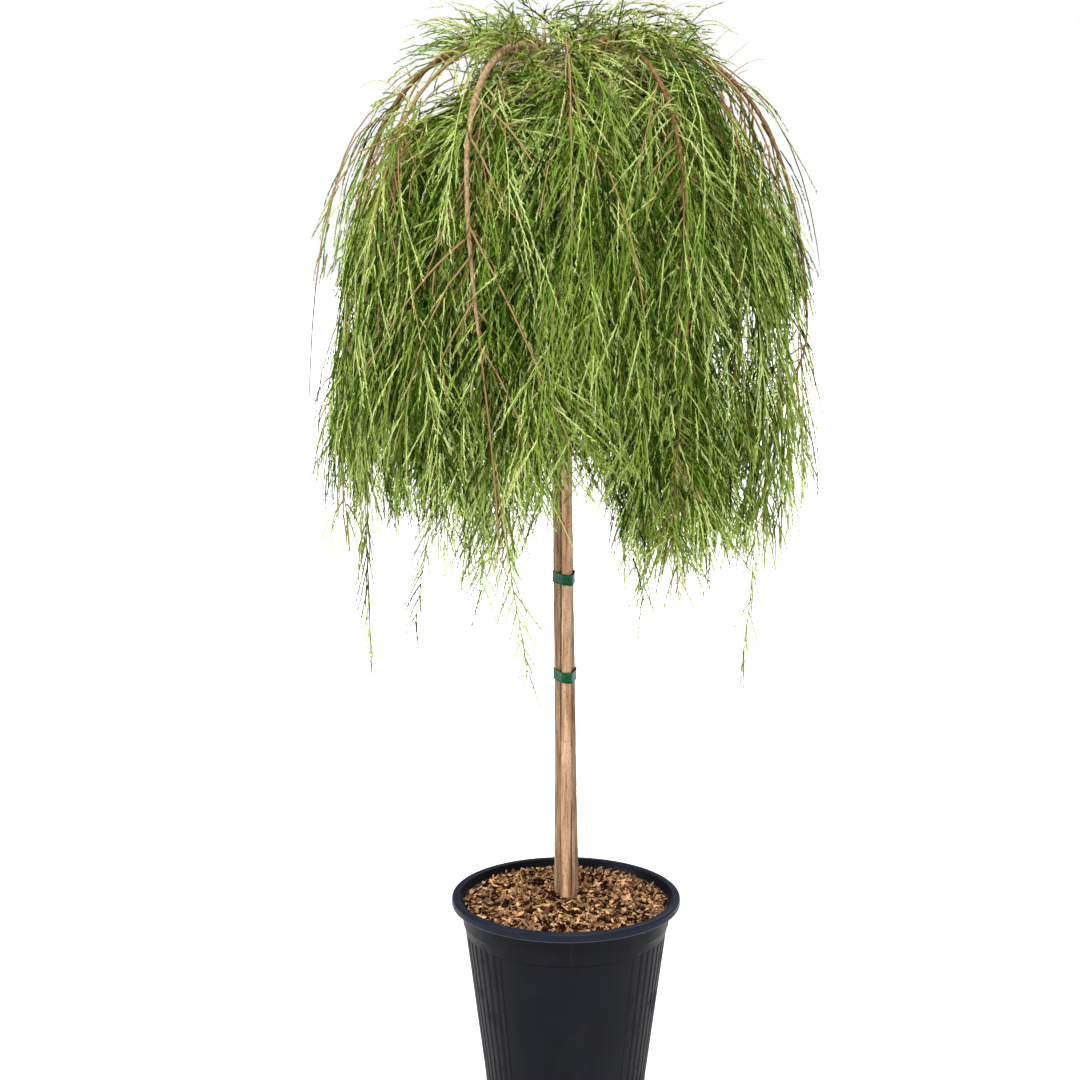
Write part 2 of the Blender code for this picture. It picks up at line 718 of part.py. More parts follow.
def make_curtain(name, first, last, seed):
    """A mass that hangs from a long bough's tip, to the crown's hem."""
    azimuth, swing, radius, reach = LONG_BOUGHS[name]
    form = (reach, 0, ROUND)
    space = Space(first, last, "curtain")
    mass = Mass(f"foliage_curtain_{name}", space, (azimuth, swing), form, seed)
    dice = mass.dice
    mass.grow_stem([blend(BOUGH_TIP, 89, k / 4) for k in range(5)], (radius * 0.54, 0.0021))
    there = mass.azimuth(83)
    room = (there - first, last - there)
    mass.core(room, (77.6, 89), 7)
    for row, turn in enumerate((77.5, 80.5, 84.5)):
        for side in (-1, 1):
            line = mass.twig(side, turn, room[side > 0] * dice.uniform(0.72, 0.82), 6)
            for share in STAGGER[row] if line else ():
                root, low, where = line_at(line, share)
                fall = root.z - hem_at(where)
                mass.spray(root, low, where, fall * dice.uniform(0.82, 1.08), SPRAY_HALF_WIDTH, row, 6)
    for row, turn, aside in ((0, 79, 3), (1, 84, -3.5)):
        root = along_path(mass.path, mass.turns, turn)
        where = mass.azimuth(turn) + aside
        mass.spray(root, turn, where, root.z - hem_at(where), SPRAY_HALF_WIDTH, row, 6)
    root = along_path(mass.path, mass.turns, 88)
    mass.spray(root, 88, mass.azimuth(88), root.z - LONG_TIPS[name], 0.013, 2, 6)
    mass.fuse()


def make_tuft():
    """Short upright growth straight over the graft."""
    mass = Mass("foliage_tuft", Space(-180, 180, "tuft"), (0, 0), None, 77)
    foot = trunk_axis(TRUNK_TOP) + UP * GAP
    path = [foot, foot + UP * 0.012, foot + Vector((0.002, 0.001, 0.024))]
    mass.stem = tube(mass.name, path, (0.0045, 0.0038, 0.0022), 6, "twig_bark")
    tips = 9
    for k in range(tips):
        heading = polar(0.62 + 0.4 * (k % 2), 360 * k / tips + 11, 0) + UP
        root = foot + UP * (0.009 + 0.0015 * (k % 3))
        mass.young_tip(root, heading, 0.105 - 0.016 * (k % 3), 0.45)
    mass.fuse()


def wedge(here, edges):
    """The first and last azimuth of the wedge round here, between the nearest edges."""
    before = min((here - edge) % 360 for edge in edges)
    after = min((edge - here) % 360 for edge in edges)
    return here - before, here + after


def make_crown():
    for name, (azimuth, swing, radius, reach) in LONG_BOUGHS.items():
        make_long_bough(name, azimuth, swing, radius, reach)
    for name, (azimuth, radius, *form) in SHORT_BOUGHS.items():
        make_short_bough(name, azimuth, radius, form)
    long_at = [azimuth + swing * 0.4 for azimuth, swing, _, _ in LONG_BOUGHS.values()]
    short_at = [row[0] for row in SHORT_BOUGHS.values()]
    for index, name in enumerate(SHORT_BOUGHS):
        here = SHORT_BOUGHS[name][0]
        first, last = wedge(here, long_at)
        make_shoulder(name, min(here - first, last - here), 11 + index)
    for index, (name, (azimuth, swing, _, _)) in enumerate(LONG_BOUGHS.items()):
        make_curtain(name, *wedge(azimuth + swing, short_at), 41 + index)
    make_tuft()


def main():
    clear_scene()
    make_pot()
    make_fill()
    make_trunk()
    for name, height in TIE_HEIGHTS.items():
        make_tie(name, height)
    make_crown()


main()
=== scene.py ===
"""Looks of a weeping she-oak grafted on a straight stem, in a round nursery pot.

The pot, mulch, stems, ties and limbs are dressed round the fixed frame, and the crown is grown
on from the limbs by the frame's own rule: every bough runs down an imaginary dome, twigs leave
it to either side along the dome, and strands set with needles hang from the twigs.
Metres, +Z up. Azimuths are degrees from +X, counter-clockwise seen from above.
"""

import math

import bpy
import numpy as np
from bpy.props import FloatProperty, FloatVectorProperty, IntProperty, PointerProperty
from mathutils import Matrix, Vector, kdtree, noise


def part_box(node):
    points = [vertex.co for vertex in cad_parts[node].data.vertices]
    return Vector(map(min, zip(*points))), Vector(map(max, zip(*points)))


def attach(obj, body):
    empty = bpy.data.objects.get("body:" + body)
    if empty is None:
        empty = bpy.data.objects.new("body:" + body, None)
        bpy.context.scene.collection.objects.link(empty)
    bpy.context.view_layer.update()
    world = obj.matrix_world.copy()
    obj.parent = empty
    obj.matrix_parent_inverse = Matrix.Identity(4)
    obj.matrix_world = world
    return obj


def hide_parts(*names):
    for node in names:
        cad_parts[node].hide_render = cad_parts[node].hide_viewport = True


bl_info = {
    "name": "Weeping She-oak",
    "version": (1, 0, 0),
    "blender": (4, 5, 0),
    "location": "View3D > Sidebar > She-oak",
    "description": "Dresses the frame of a potted weeping she-oak",
    "category": "Object",
}

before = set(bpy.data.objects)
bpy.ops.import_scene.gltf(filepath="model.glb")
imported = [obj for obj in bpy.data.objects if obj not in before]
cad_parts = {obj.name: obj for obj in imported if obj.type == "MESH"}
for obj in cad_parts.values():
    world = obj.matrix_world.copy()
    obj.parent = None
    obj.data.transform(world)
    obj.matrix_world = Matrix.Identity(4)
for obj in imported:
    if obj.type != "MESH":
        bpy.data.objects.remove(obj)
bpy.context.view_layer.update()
BODY = "root"
UP = Vector((0, 0, 1))

# --- The frame's driving sizes, as its source states them --------------------------------------------
POT_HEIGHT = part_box("pot")[1].z
RIM_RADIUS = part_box("pot")[1].x
RIM_SKIRT = 0.013
RIM_LIP = 0.012
COLLAR_RADIUS = 0.150
COLLAR_FOOT = 0.246
BODY_TOP_RADIUS = 0.1455
BODY_TOP = 0.236
BASE_RADIUS = 0.1165
POT_WALL = 0.003
PANEL_HALF_ANGLE = 41
PANEL_TOP = 0.2315
PANEL_FOOT = 0.0145  # where the panels and the flutes begin
WALL_FOOT = 0.009  # where the wall's straight slope begins
RIB_SIDES = 6  # columns of faces to each upright rib and its flute
NUB_AZIMUTH = 2  # degrees of the small nub on the collar from the middle of each panel
NUB_HEIGHT = 0.0014
FLOOR_DISC = 0.030  # radius of the one face in the middle of each floor
DRAIN_HOLES = 6
DRAIN_RADIUS = 0.009
DRAIN_RING = 0.078
FILL_EDGE = 0.271
FILL_CROWN = 0.287
FILL_SEAT = 0.040  # radius round the stems within which the fill is level
FILL_RADIUS = COLLAR_RADIUS - 0.0048 + (FILL_EDGE - COLLAR_FOOT) * 0.05
FILL_CLEAR = 0.0006  # between the fill and the pot
HEAP_PLACE = (-0.045, 0.065)  # where the chips lie thickest
HEAP_HEIGHT = 0.008
HEAP_SPREAD = 0.035
LONG_CHIPS = 0.016  # share of the chips that are twice as long and nearly straight
CHIP_SHARES = (0.22, 0.22, 0.20, 0.18, 0.18)  # share of the chips in each tone, darkest first
CHIP_TONES = (0.0, 0.16, 0.34, 0.6, 1.0)  # how far each lies from the dark tone to the light one
CHIP_STEPS = 5  # rings of corners along a curled chip

TRUNK_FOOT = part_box("trunk")[0].z
TRUNK_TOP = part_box("trunk")[1].z
TRUNK_FOOT_RADIUS = 0.0149
TRUNK_NECK_RADIUS = 0.0122
TRUNK_FLARE = 0.0034
FLARE_HEIGHT = 0.150
TRUNK_LEAN = (0.0004, -0.0072)  # X of the trunk's axis at its foot, and higher up
KNOB_HEIGHT = 1.450
KNOB_SWELL = 0.0105
KNOB_SPREAD = 0.020
COMPANION_FOOT_RADIUS = 0.0068
COMPANION_TOP_RADIUS = 0.0074
COMPANION_TOP = 1.395
COMPANION_TURN = (-92, -73)  # azimuths from the trunk at the companion's foot and at its top
COMPANION_TWIST = (0.30, 1.00)  # heights between which it shifts from one to the other
STEM_GAP = 0.0008
SHADE_SEAMS = {  # painted shade: dark strips on the trunk beside the companion, where shade falls between the stems: name: side, foot, top
    "left": (-1, 0.52, COMPANION_TOP),
    "right": (1, TRUNK_FOOT + 0.002, 0.435),
}
SHADE_SEAM_RADIUS = 0.0014
SHADE_SEAM_ENDS = (0.0012, 0.0010, 0.0007, 0.0004)
TIE_HEIGHTS = {"tie_upper": 0.7575, "tie_lower": 0.6165}
TIE_DOUBLED = (-70, 35)  # azimuths between which the tape's end lies doubled
STEM_GRAIN = (190, (1, 1, 0.07))  # scale and stretch of the bark's streaks
LIMB_GRAIN = (260, (1, 1, 0.3))
KNOT_SPACING = 0.021
KNOT_WIDTH = 0.0016

DOME_RADIUS = 0.325
DOME_FOOT = 0.85
DOME_RISE = 0.65
DOME_SQUARE = 3.3  # exponent of the dome's section: 2 is a quarter of an ellipse, and more is squarer
BOUGH_BEND = 17  # turn down the dome at which a long bough's arch joins it
BOUGH_TIP = 76
SWING_POWER = 1.6
SHORT_BEND = 13
SHORT_TIP = 61
LONG_EXIT = (KNOB_HEIGHT - 0.004, 0.75)  # height at which the boughs leave the knob, and how steeply
SHORT_EXIT = (KNOB_HEIGHT + 0.0165, 1.25)
LONG_TAPER = 0.36  # radius at the tip, as a share of the base's
SHORT_TAPER = 0.8
LONG_BOUGHS = {  # name: azimuth, swing of the azimuth at the tip, base radius, dome reach
    "front_left": (-125, 12.6, 0.0058, 0.94),
    "front_right": (-57, -5, 0.0042, 0.99),
    "right": (1, -6, 0.0044, 1.03),
    "back_right": (57, -3, 0.0042, 1.0),
    "back_left": (116, 4, 0.0042, 0.99),
    "left": (180, 5, 0.0046, 0.96),
}
SHORT_BOUGHS = {  # name: azimuth, base radius, dome reach, extra rise, squareness
    "front": (-90, 0.0036, 0.97, 0.0, 3.0),
    "fore_right": (-27, 0.0036, 1.05, 0.0, 3.5),
    "aft_right": (29, 0.0036, 1.05, 0.008, 3.9),
    "back": (87, 0.0036, 0.98, 0.0, 3.2),
    "aft_left": (148, 0.0036, 0.99, 0.008, 3.9),
    "fore_left": (-150, 0.0036, 0.97, 0.0, 3.3),
}

# --- The crown's finer rule --------------------------------------------------------------------------
RUN_STEP = 0.004  # between the points of a bough's run
STEM_TIP = 92  # turn where the long masses' stems end
TWIG_STEPS = 9
STRAND_STEPS = 4
TWIG_ROLLS = (0.30, 0.84)  # deal up to which a twig hangs under its bough, and past which it stands over it
TWIG_SPREAD = 24  # degrees of scatter round its bough
TWIG_WEIGHT = (0.6, 0.95)  # how far a twig bends down to its tip
TWIG_WANDER = 0.035
STRAND_SPACING = 0.0102  # down a twig, to either side in turn
STRAND_LENGTH = 0.120
STRAND_SHARE = (0.5, 1.15)  # of that length
STRAND_ROLL = (20, 34)  # degrees outwards from level, and their scatter
STRAND_WEIGHT = (0.05, 0.55)
STRAND_WANDER = 0.03
STRAND_FADE = 0.45  # how much shorter the strands are at a twig's tip
STRAND_TAPER = 0.34
VIGOUR = (0.75, 1.15)  # share of a strand's thickness and of its needles' length
NEEDLED_FROM = (0.02, 0.10)  # shares of a strand's length
NEEDLED_TO = (0.90, 0.99)
NEEDLE_LEAN = (12, 28)  # degrees off the strand
NEEDLE_SHARE = (0.6, 1)  # of the longest needle
NEEDLE_FADE = 0.3  # how much shorter they are at a strand's tip
NEEDLE_FOLD = 0.8  # height of a needle's ridge, as a share of its half width
LONG_TWIGS = (0.0082, (0.15, 0.36), (24, 58))  # spacing, lengths, degrees off the bough
SHORT_TWIGS = (0.0052, (0.24, 0.60), (10, 50))
FRONT_TWIGS = (0.0044, (0.30, 0.66), (6, 42))
HEAD_TWIGS = (0.009, (0.08, 0.26), (25, 75))
TRAILERS = (0.20, (0.24, 0.40), (8, 24))
SIDE_TWIGS = (0.014, (0.07, 0.17), (22, 45))
LONG_START = 0.10  # how far along a long bough its twigs start
SHORT_START = 0.03
HEAD_SPAN = (0.02, 0.16)  # the part of every bough that bears the head's twigs
TRAILER_START = 0.62  # share of a long bough's run at which its trailing twigs start
TRAILER_BELOW = 0.24  # how far below the hem they may end
SHOOT_STRANDS = (0.009, (18, 38), 0.34)  # spacing, degrees off the shoot, share of the common length
SHOOT_WEIGHT = (0.2, 0.7)
TUFTS = (  # shoots at the head: how many, turns down the dome, lengths, seed
    (130, (2, 30), (0.045, 0.10), 7),
    (130, (10, 42), (0.06, 0.13), 8),
    (110, (1, 15), (0.08, 0.16), 9),
)
SIDE_BOUGHS = (  # on the front bough: place along it, side, degrees off, length, how far it bends over
    (0.235, 1, 52, 0.17, 0.25),
    (0.290, 1, 38, 0.13, 0.30),
    (0.405, 1, 30, 0.24, 0.35),
    (0.420, -1, 58, 0.20, 0.45),
    (0.500, -1, 40, 0.15, 0.40),
    (0.560, 1, 34, 0.15, 0.40),
)
TUCKED = {"right": 0.17, "back_right": 0.06, "front_right": 0.05}  # how far these stems turn in below
TUCK_TOP = 1.12
TUCK_DEPTH = 0.20
CROWDED = {"front_right": 0.55, "right": 0.62, "back_right": 0.72}  # shares of the twigs' spacing
TWIG_TONE = 5  # the material's place after those of the strands
PALE_TWIG_TONE = 6
OUTER_TONES = (0.30, 0.30, 0.24, 0.06, 0.10)  # shares of bright, fresh, leafy, deep and olive outside
SHADED_INNER_TONES = (0.00, 0.03, 0.25, 0.64, 0.08)  # the same inside the crown, where the darker tones are painted shade
LIT_HEM_TONES = (0.42, 0.46, 0.09, 0.00, 0.03)  # and in its ragged lower edge, where lighter tones paint the light that shines through the hanging strands
HEM_BAND = (0.03, 0.16)  # how far above the hem its tones begin to give way, and over what height
SHELL_DEPTH = 0.45  # depth at which a spray is fully inside, as a share of the dome
SHELL_ROUND = 2.5  # roundness of the surfaces of equal depth
TWIG_SHARE = 0.42  # share of the strands that take their twig's tone
CROWN_HEART = np.array([0, 0, 1.05])
BARED_BY = ("front_left", "fore_left", "front", "left")  # masses that leave the thick front bough bare
BARE_WIDTH = 0.0075
BARE_DEPTH = 0.004
BARE_SHARE = 0.92  # share of the covering strands that are left out
HEM_LINE = (  # X, and the hem's height there
    (-0.36, 0.90),
    (-0.29, 0.868),
    (-0.22, 0.828),
    (-0.16, 0.795),
    (-0.12, 0.775),
    (-0.06, 0.79),
    (-0.035, 0.845),
    (0.02, 0.85),
    (0.06, 0.815),
    (0.12, 0.80),
    (0.20, 0.78),
    (0.27, 0.785),
    (0.33, 0.88),
)
OUTLINE = (  # height, and how far the dense foliage reaches to the left and to the right there
    (0.88, 0.375, 0.282),
    (0.92, 0.378, 0.278),
    (0.96, 0.374, 0.266),
    (1.00, 0.366, 0.256),
    (1.05, 0.318, 0.240),
    (1.09, 0.276, 0.268),
    (1.13, 0.306, 0.342),
    (1.17, 0.342, 0.348),
    (1.21, 0.318, 0.286),
    (1.25, 0.296, 0.268),
    (1.29, 0.276, 0.264),
    (1.334, 0.268, 0.236),
    (1.374, 0.278, 0.216),
    (1.414, 0.290, 0.218),
    (1.454, 0.276, 0.216),
    (1.494, 0.245, 0.200),
    (1.56, 0.235, 0.190),
)
EVEN_OUTLINE = ((1.21, 0.365), (1.334, 0.310), (1.414, 0.275), (1.494, 0.210))  # before and behind
OUTLINE_SPREAD = (0.92, 1.10)  # each path's own reckoning of the outline, as a share of it
WHISKERS = (0.06, 0.09)  # shares of the twigs and of the strands past the outline that stay
HEM_SLOPE = 0.16  # how much the hem rises towards the front
HEM_SLACK = (-0.02, 0.052)  # how far below it the strands end
HEM_LOCKS = ((0.022, 7, 0.6), (0.016, 17, 2), (0.012, 31, 0))  # depth, locks all round, start
PARTING_CENTRE = 0.017  # X of the parting before and behind the trunk
PARTING_HALF = 0.050
PARTING_RISE = (0.045, 0.125)  # how much higher the hem is there, in front and behind
SIDE_LIMITS = (-0.385, 0.405)  # furthest whisker to either side
FRONT_LIMIT = 0.385
TOP_LIMIT = 1.575
LIMIT_ROUND = 3.0  # roundness of the crown's reach
LIMIT_RISE = 0.79  # how far it goes up from the dome's foot
LIMIT_SOFT = 0.1  # share of the reach over which a path is eased in
TOP_SOFT = 0.02  # the same below the top
DENSE_SHARE = 0.74  # how far out of the crown's reach most twigs end
DENSE_STRANDS = 0.86  # and most strands
LOOSE_POWER = 2.2  # how rare the paths are that end further out
SKY_GAPS = (  # where sky shows through: X, Z, half width, half height, share of strands left out
    (-0.178, 1.440, 0.040, 0.040, 0.80),
    (0.207, 1.080, 0.007, 0.030, 0.7),
    (0.252, 1.115, 0.011, 0.045, 0.55),
)

# --- Camera and lights -------------------------------------------------------------------------------
CAMERA_PLACE = (-0.0376, -3.30, 1.485)
CAMERA_TILT = 11.57  # degrees below the horizon
CAMERA_LENS = 80
KEY_FROM = (0.15, -0.78, 1.30)
FILL_FROM = (-0.95, -0.25, 0.9)
BACK_FROM = (0.45, 0.85, 1.0)


# =====================================================================================================
# Settings
# =====================================================================================================
def length(name, description, default):
    return FloatProperty(name=name, description=description, default=default, unit="LENGTH")


def number(name, description, default):
    return FloatProperty(name=name, description=description, default=default)


def colour(name, description, default):
    return FloatVectorProperty(name=name, description=description, default=default, subtype="COLOR")


def count(name, description, default):
    return IntProperty(name=name, description=description, default=default, min=1)


class PotSettings(bpy.types.PropertyGroup):
    """Sizes and colours of the nursery pot"""

    flute_depth: length("Flute depth", "How far the upright flutes are pressed in", 0.0011)
    panel_depth: length("Panel depth", "How far the smooth front and back panels are pressed in", 0.0009)
    sides: count("Sides", "Columns of faces round the pot, in sixes", 360)
    plastic: colour("Plastic", "Colour of the moulded wall", (0.0068, 0.0074, 0.0112))
    rim: colour("Rim", "Colour of the rolled rim, where the light catches it", (0.0120, 0.0150, 0.0270))
    # The edge colour is a painted highlight along the rim's rounded lower edge.
    edge: colour("Edge", "Colour of the rim's rubbed lower edge", (0.075, 0.082, 0.105))
    # The groove colour is a painted shade along the step over each panel.
    groove_shade: colour("Groove", "Colour of the groove over each panel", (0.0015, 0.0015, 0.002))
    dust: colour("Dust", "Colour of the dust on the plastic", (0.020, 0.020, 0.022))


class MulchSettings(bpy.types.PropertyGroup):
    """The bark mulch"""

    chips: count("Chips", "Pieces of bark on the surface", 3000)
    chip_length: length("Chip length", "Longest of the common chips", 0.0200)
    soil: colour("Soil", "Colour between the chips", (0.022, 0.009, 0.004))
    light: colour("Light chips", "Fresh split bark", (1.0, 0.60, 0.31))
    dark: colour("Dark chips", "Weathered bark", (0.030, 0.010, 0.003))


class BarkSettings(bpy.types.PropertyGroup):
    """The bark of the stems and limbs"""

    sides: count("Sides", "Faces round each stem", 56)
    relief: length("Relief", "Depth of the fissures in the stems", 0.00055)
    light: colour("Ridges", "Colour of the trunk's bark", (0.56, 0.365, 0.22))
    dark: colour("Fissures", "Colour down in the trunk's fissures", (0.20, 0.105, 0.053))
    fresh_light: colour("Companion ridges", "Colour of the companion's bark", (0.86, 0.56, 0.35))
    fresh_dark: colour("Companion fissures", "Colour in the companion's fissures", (0.40, 0.195, 0.09))
    # The seam colour is a painted shade in the crevices between the stems.
    seam: colour("Seam", "Colour of the dark bark between the stems", (0.050, 0.025, 0.012))
    limb_light: colour("Limb ridges", "Colour of the thick front bough's bark", (0.58, 0.40, 0.225))
    limb_dark: colour("Limb fissures", "Colour in the thick front bough's bark", (0.25, 0.135, 0.06))
    old_light: colour("Old limb ridges", "Colour of the other boughs' bark", (0.34, 0.19, 0.082))
    old_dark: colour("Old limb fissures", "Colour in the other boughs' bark", (0.12, 0.055, 0.021))


class TieSettings(bpy.types.PropertyGroup):
    """The bands of tape"""

    breadth: length("Breadth", "Height of each band", 0.015)
    thickness: length("Thickness", "Thickness of the tape", 0.0009)
    tape: colour("Tape", "Colour of the tape", (0.0015, 0.135, 0.052))


class FoliageSettings(bpy.types.PropertyGroup):
    """Strands and needles"""

    needle_length: length("Needle length", "Longest needle on a strand", 0.0125)
    needle_width: length("Needle width", "Width of a needle at its root", 0.0021)
    needle_spacing: length("Needle spacing", "Distance between needles down a strand", 0.0050)
    strand_radius: length("Strand radius", "Radius of a strand at its root", 0.00115)
    bright: colour("Bright", "Young strands in the light", (0.62, 0.73, 0.24))
    fresh: colour("Fresh", "Most of the outer strands", (0.25, 0.375, 0.050))
    # The leafy and deep tones paint the shade that falls in the crown's shell and inside it.
    leafy: colour("Leafy", "Strands in the shell's depth", (0.050, 0.110, 0.005))
    deep_shade: colour("Deep", "Strands inside the crown", (0.013, 0.032, 0.0015))
    olive: colour("Olive", "Old strands", (0.125, 0.14, 0.020))
    twig: colour("Twig", "Bark of the finest twigs", (0.43, 0.27, 0.118))
    pale_twig: colour("Pale twig", "Bark of the twigs at the head of the crown", (0.62, 0.47, 0.27))


class StageSettings(bpy.types.PropertyGroup):
    """Floor and light"""

    key: number("Key", "Strength of the main light", 3.4)
    fill: number("Fill", "Strength of the light from the left", 1.5)
    back: number("Back", "Strength of the light from behind", 1.3)
    ambient: number("Ambient", "Strength of the light from all round", 0.13)
    floor: colour("Floor", "Colour of the floor", (0.97, 0.97, 0.97))
    glow: number("Glow", "How far shadows on the floor are lifted", 0.62)


SETTINGS = {
    "sheoak_pot": PotSettings,
    "sheoak_mulch": MulchSettings,
    "sheoak_bark": BarkSettings,
    "sheoak_ties": TieSettings,
    "sheoak_foliage": FoliageSettings,
    "sheoak_stage": StageSettings,
}


# =====================================================================================================
# Small helpers
# =====================================================================================================
def blend(a, b, part):
    return a + (b - a) * part


def polar(radius, azimuth, height):
    angle = math.radians(azimuth)
    return Vector((radius * math.cos(angle), radius * math.sin(angle), height))


def deselect():
    bpy.ops.object.select_all(action="DESELECT")


def name_active(name):
    """Names the active object and its mesh."""
    thing = bpy.context.object
    thing.name = thing.data.name = name
    return thing


def wear(thing, *materials):
    """Gives the thing its materials."""
    thing.data.materials.clear()
    for material in materials:
        thing.data.materials.append(material)


def activate(thing):
    """Makes the thing the active object and the only one selected."""
    deselect()
    bpy.context.view_layer.objects.active = thing
    thing.select_set(True)


def apply_all(thing):
    """Applies the thing's modifiers, first to last."""
    activate(thing)
    for modifier in list(thing.modifiers):
        bpy.ops.object.modifier_apply(modifier=modifier.name)


def settle(thing, slot, *nodes):
    """The thing rides on the plant and stands for the nodes."""
    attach(thing, BODY)
    if nodes:
        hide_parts(*nodes)


def points_of(thing):
    """The thing's corners as an array."""
    flat = np.empty(len(thing.data.vertices) * 3)
    thing.data.vertices.foreach_get("co", flat)
    return flat.reshape(-1, 3)


def set_points(thing, points):
    thing.data.vertices.foreach_set("co", np.asarray(points, np.float32).ravel())
    thing.data.update()


def extrude_rings(centres, radii):
    """In edit mode, with a ring selected: extrudes it through level rings and leaves the last selected."""
    for here, after, old, new in zip(centres, centres[1:], radii, radii[1:]):
        bpy.ops.mesh.extrude_region_move(TRANSFORM_OT_translate={"value": tuple(after - here)})
        bpy.ops.transform.resize(value=(new / old, new / old, 1), center_override=tuple(after))


def start_ring(name, sides, radius, height):
    """A level circle, in edit mode with its edges selected."""
    deselect()
    bpy.ops.mesh.primitive_circle_add(vertices=sides, radius=radius, location=(0, 0, height))
    bpy.ops.object.transform_apply(location=True)
    thing = name_active(name)
    bpy.ops.object.mode_set(mode="EDIT")
    bpy.ops.mesh.select_mode(type="EDGE")
    bpy.ops.mesh.select_all(action="SELECT")
    return thing


def face_out():
    """In edit mode: turns every face outwards, and leaves edit mode."""
    bpy.ops.mesh.select_all(action="SELECT")
    bpy.ops.mesh.normals_make_consistent(inside=False)
    bpy.ops.object.mode_set(mode="OBJECT")


def turned(name, profile, sides):
    """A turned solid: a circle at the profile's first radius and height, extruded through the rest."""
    radii, heights = zip(*profile)
    thing = start_ring(name, sides, radii[0], heights[0])
    extrude_rings([UP * height for height in heights], radii)
    bpy.ops.mesh.edge_face_add()
    bpy.ops.mesh.select_all(action="DESELECT")
    bpy.ops.mesh.select_non_manifold()
    bpy.ops.mesh.edge_face_add()
    face_out()
    return thing


def select_points(thing, wanted):
    """Selects the corners for which wanted is true, and enters edit mode."""
    activate(thing)
    bpy.ops.object.mode_set(mode="EDIT")
    bpy.ops.mesh.select_mode(type="VERT")
    bpy.ops.mesh.select_all(action="DESELECT")
    bpy.ops.object.mode_set(mode="OBJECT")
    thing.data.vertices.foreach_set("select", wanted)
    bpy.ops.object.mode_set(mode="EDIT")


def rounded(corner, radius, first, last, steps):
    """Points of an arc, as radius and height, round a corner's centre between two angles."""
    angles = [math.radians(blend(first, last, k / steps)) for k in range(steps + 1)]
    return [(corner[0] + radius * math.cos(a), corner[1] + radius * math.sin(a)) for a in angles]


# =====================================================================================================
# Materials
# =====================================================================================================
def new_group(name, inputs, outputs):
    """A shader node group with named sockets. Returns its tree and its input and output nodes."""
    tree = bpy.data.node_groups.new(name, "ShaderNodeTree")
    for label, kind, default in inputs:
        socket = tree.interface.new_socket(name=label, in_out="INPUT", socket_type="NodeSocket" + kind)
        if default is not None:
            socket.default_value = default
    for label, kind in outputs:
        tree.interface.new_socket(name=label, in_out="OUTPUT", socket_type="NodeSocket" + kind)
    return tree, tree.nodes.new("NodeGroupInput").outputs, tree.nodes.new("NodeGroupOutput").inputs


def feed(tree, socket, source):
    """Links a socket to another one, or sets it to a value or a colour."""
    if isinstance(source, bpy.types.NodeSocket):
        tree.links.new(source, socket)
    elif socket.type == "RGBA" and len(source) == 3:
        socket.default_value = (*source, 1)
    else:
        socket.default_value = source


def add_node(tree, kind, links=(), **values):
    """A node with its properties set, and its inputs linked to sockets or set to values."""
    node = tree.nodes.new("ShaderNode" + kind)
    for name, value in values.items():
        setattr(node, name, value)
    for name, source in dict(links).items():
        feed(tree, node.inputs[name], source)
    return node


def compute(tree, operation, *values):
    """What a math node makes of its values."""
    return add_node(tree, "Math", dict(enumerate(values)), operation=operation).outputs[0]


def ramp(tree, factor, low, high):
    """Nothing below low, all above high, smooth between."""
    links = {"Value": factor, "From Min": low, "From Max": high}
    return add_node(tree, "MapRange", links, interpolation_type="SMOOTHSTEP").outputs[0]


def mix(tree, factor, first, second):
    """The first colour, and the second where the factor is one."""
    return add_node(tree, "Mix", {0: factor, 6: first, 7: second}, data_type="RGBA").outputs[2]


def grain_group():
    """Two tones that run in streaks, and their relief."""
    name = "Streaked grain"
    if name in bpy.data.node_groups:
        return bpy.data.node_groups[name]
    inputs = [
        ("Vector", "Vector", None),
        ("Stretch", "Vector", (1, 1, 1)),
        ("Scale", "Float", 100),
        ("Light", "Color", (0.8, 0.8, 0.8, 1)),
        ("Dark", "Color", (0.2, 0.2, 0.2, 1)),
    ]
    tree, given, out = new_group(name, inputs, [("Color", "Color"), ("Height", "Float")])
    spot = add_node(tree, "Mapping", {"Vector": given["Vector"], "Scale": given["Stretch"]}).outputs[0]
    links = {"Vector": spot, "Scale": given["Scale"], "Detail": 8, "Roughness": 0.62}
    streaks = add_node(tree, "TexNoise", links).outputs[0]
    tone = mix(tree, ramp(tree, streaks, 0.34, 0.62), given["Dark"], given["Light"])
    tree.links.new(tone, out["Color"])
    tree.links.new(streaks, out["Height"])
    return tree


def fleck_group():
    """Specks and soft patches of another tone over a colour."""
    name = "Flecks"
    if name in bpy.data.node_groups:
        return bpy.data.node_groups[name]
    inputs = [
        ("Vector", "Vector", None),
        ("Color", "Color", (0.8, 0.8, 0.8, 1)),
        ("Fleck", "Color", (0.2, 0.2, 0.2, 1)),
        ("Scale", "Float", 300),
        ("Threshold", "Float", 0.6),
        ("Strength", "Float", 0.7),
    ]
    tree, given, out = new_group(name, inputs, [("Color", "Color"), ("Mask", "Float")])
    links = {"Vector": given["Vector"], "Scale": given["Scale"], "Detail": 3}
    cloud = add_node(tree, "TexNoise", links).outputs[0]
    full = compute(tree, "ADD", given["Threshold"], 0.06)
    mask = compute(tree, "MULTIPLY", ramp(tree, cloud, given["Threshold"], full), given["Strength"])
    tree.links.new(mix(tree, mask, given["Color"], given["Fleck"]), out["Color"])
    tree.links.new(mask, out["Mask"])
    return tree


def use_group(tree, group, **links):
    """Places a group in a material, with its inputs linked to sockets or set to values."""
    node = tree.nodes.new("ShaderNodeGroup")
    node.node_tree = group
    for name, source in links.items():
        feed(tree, node.inputs[name], source)
    return node.outputs


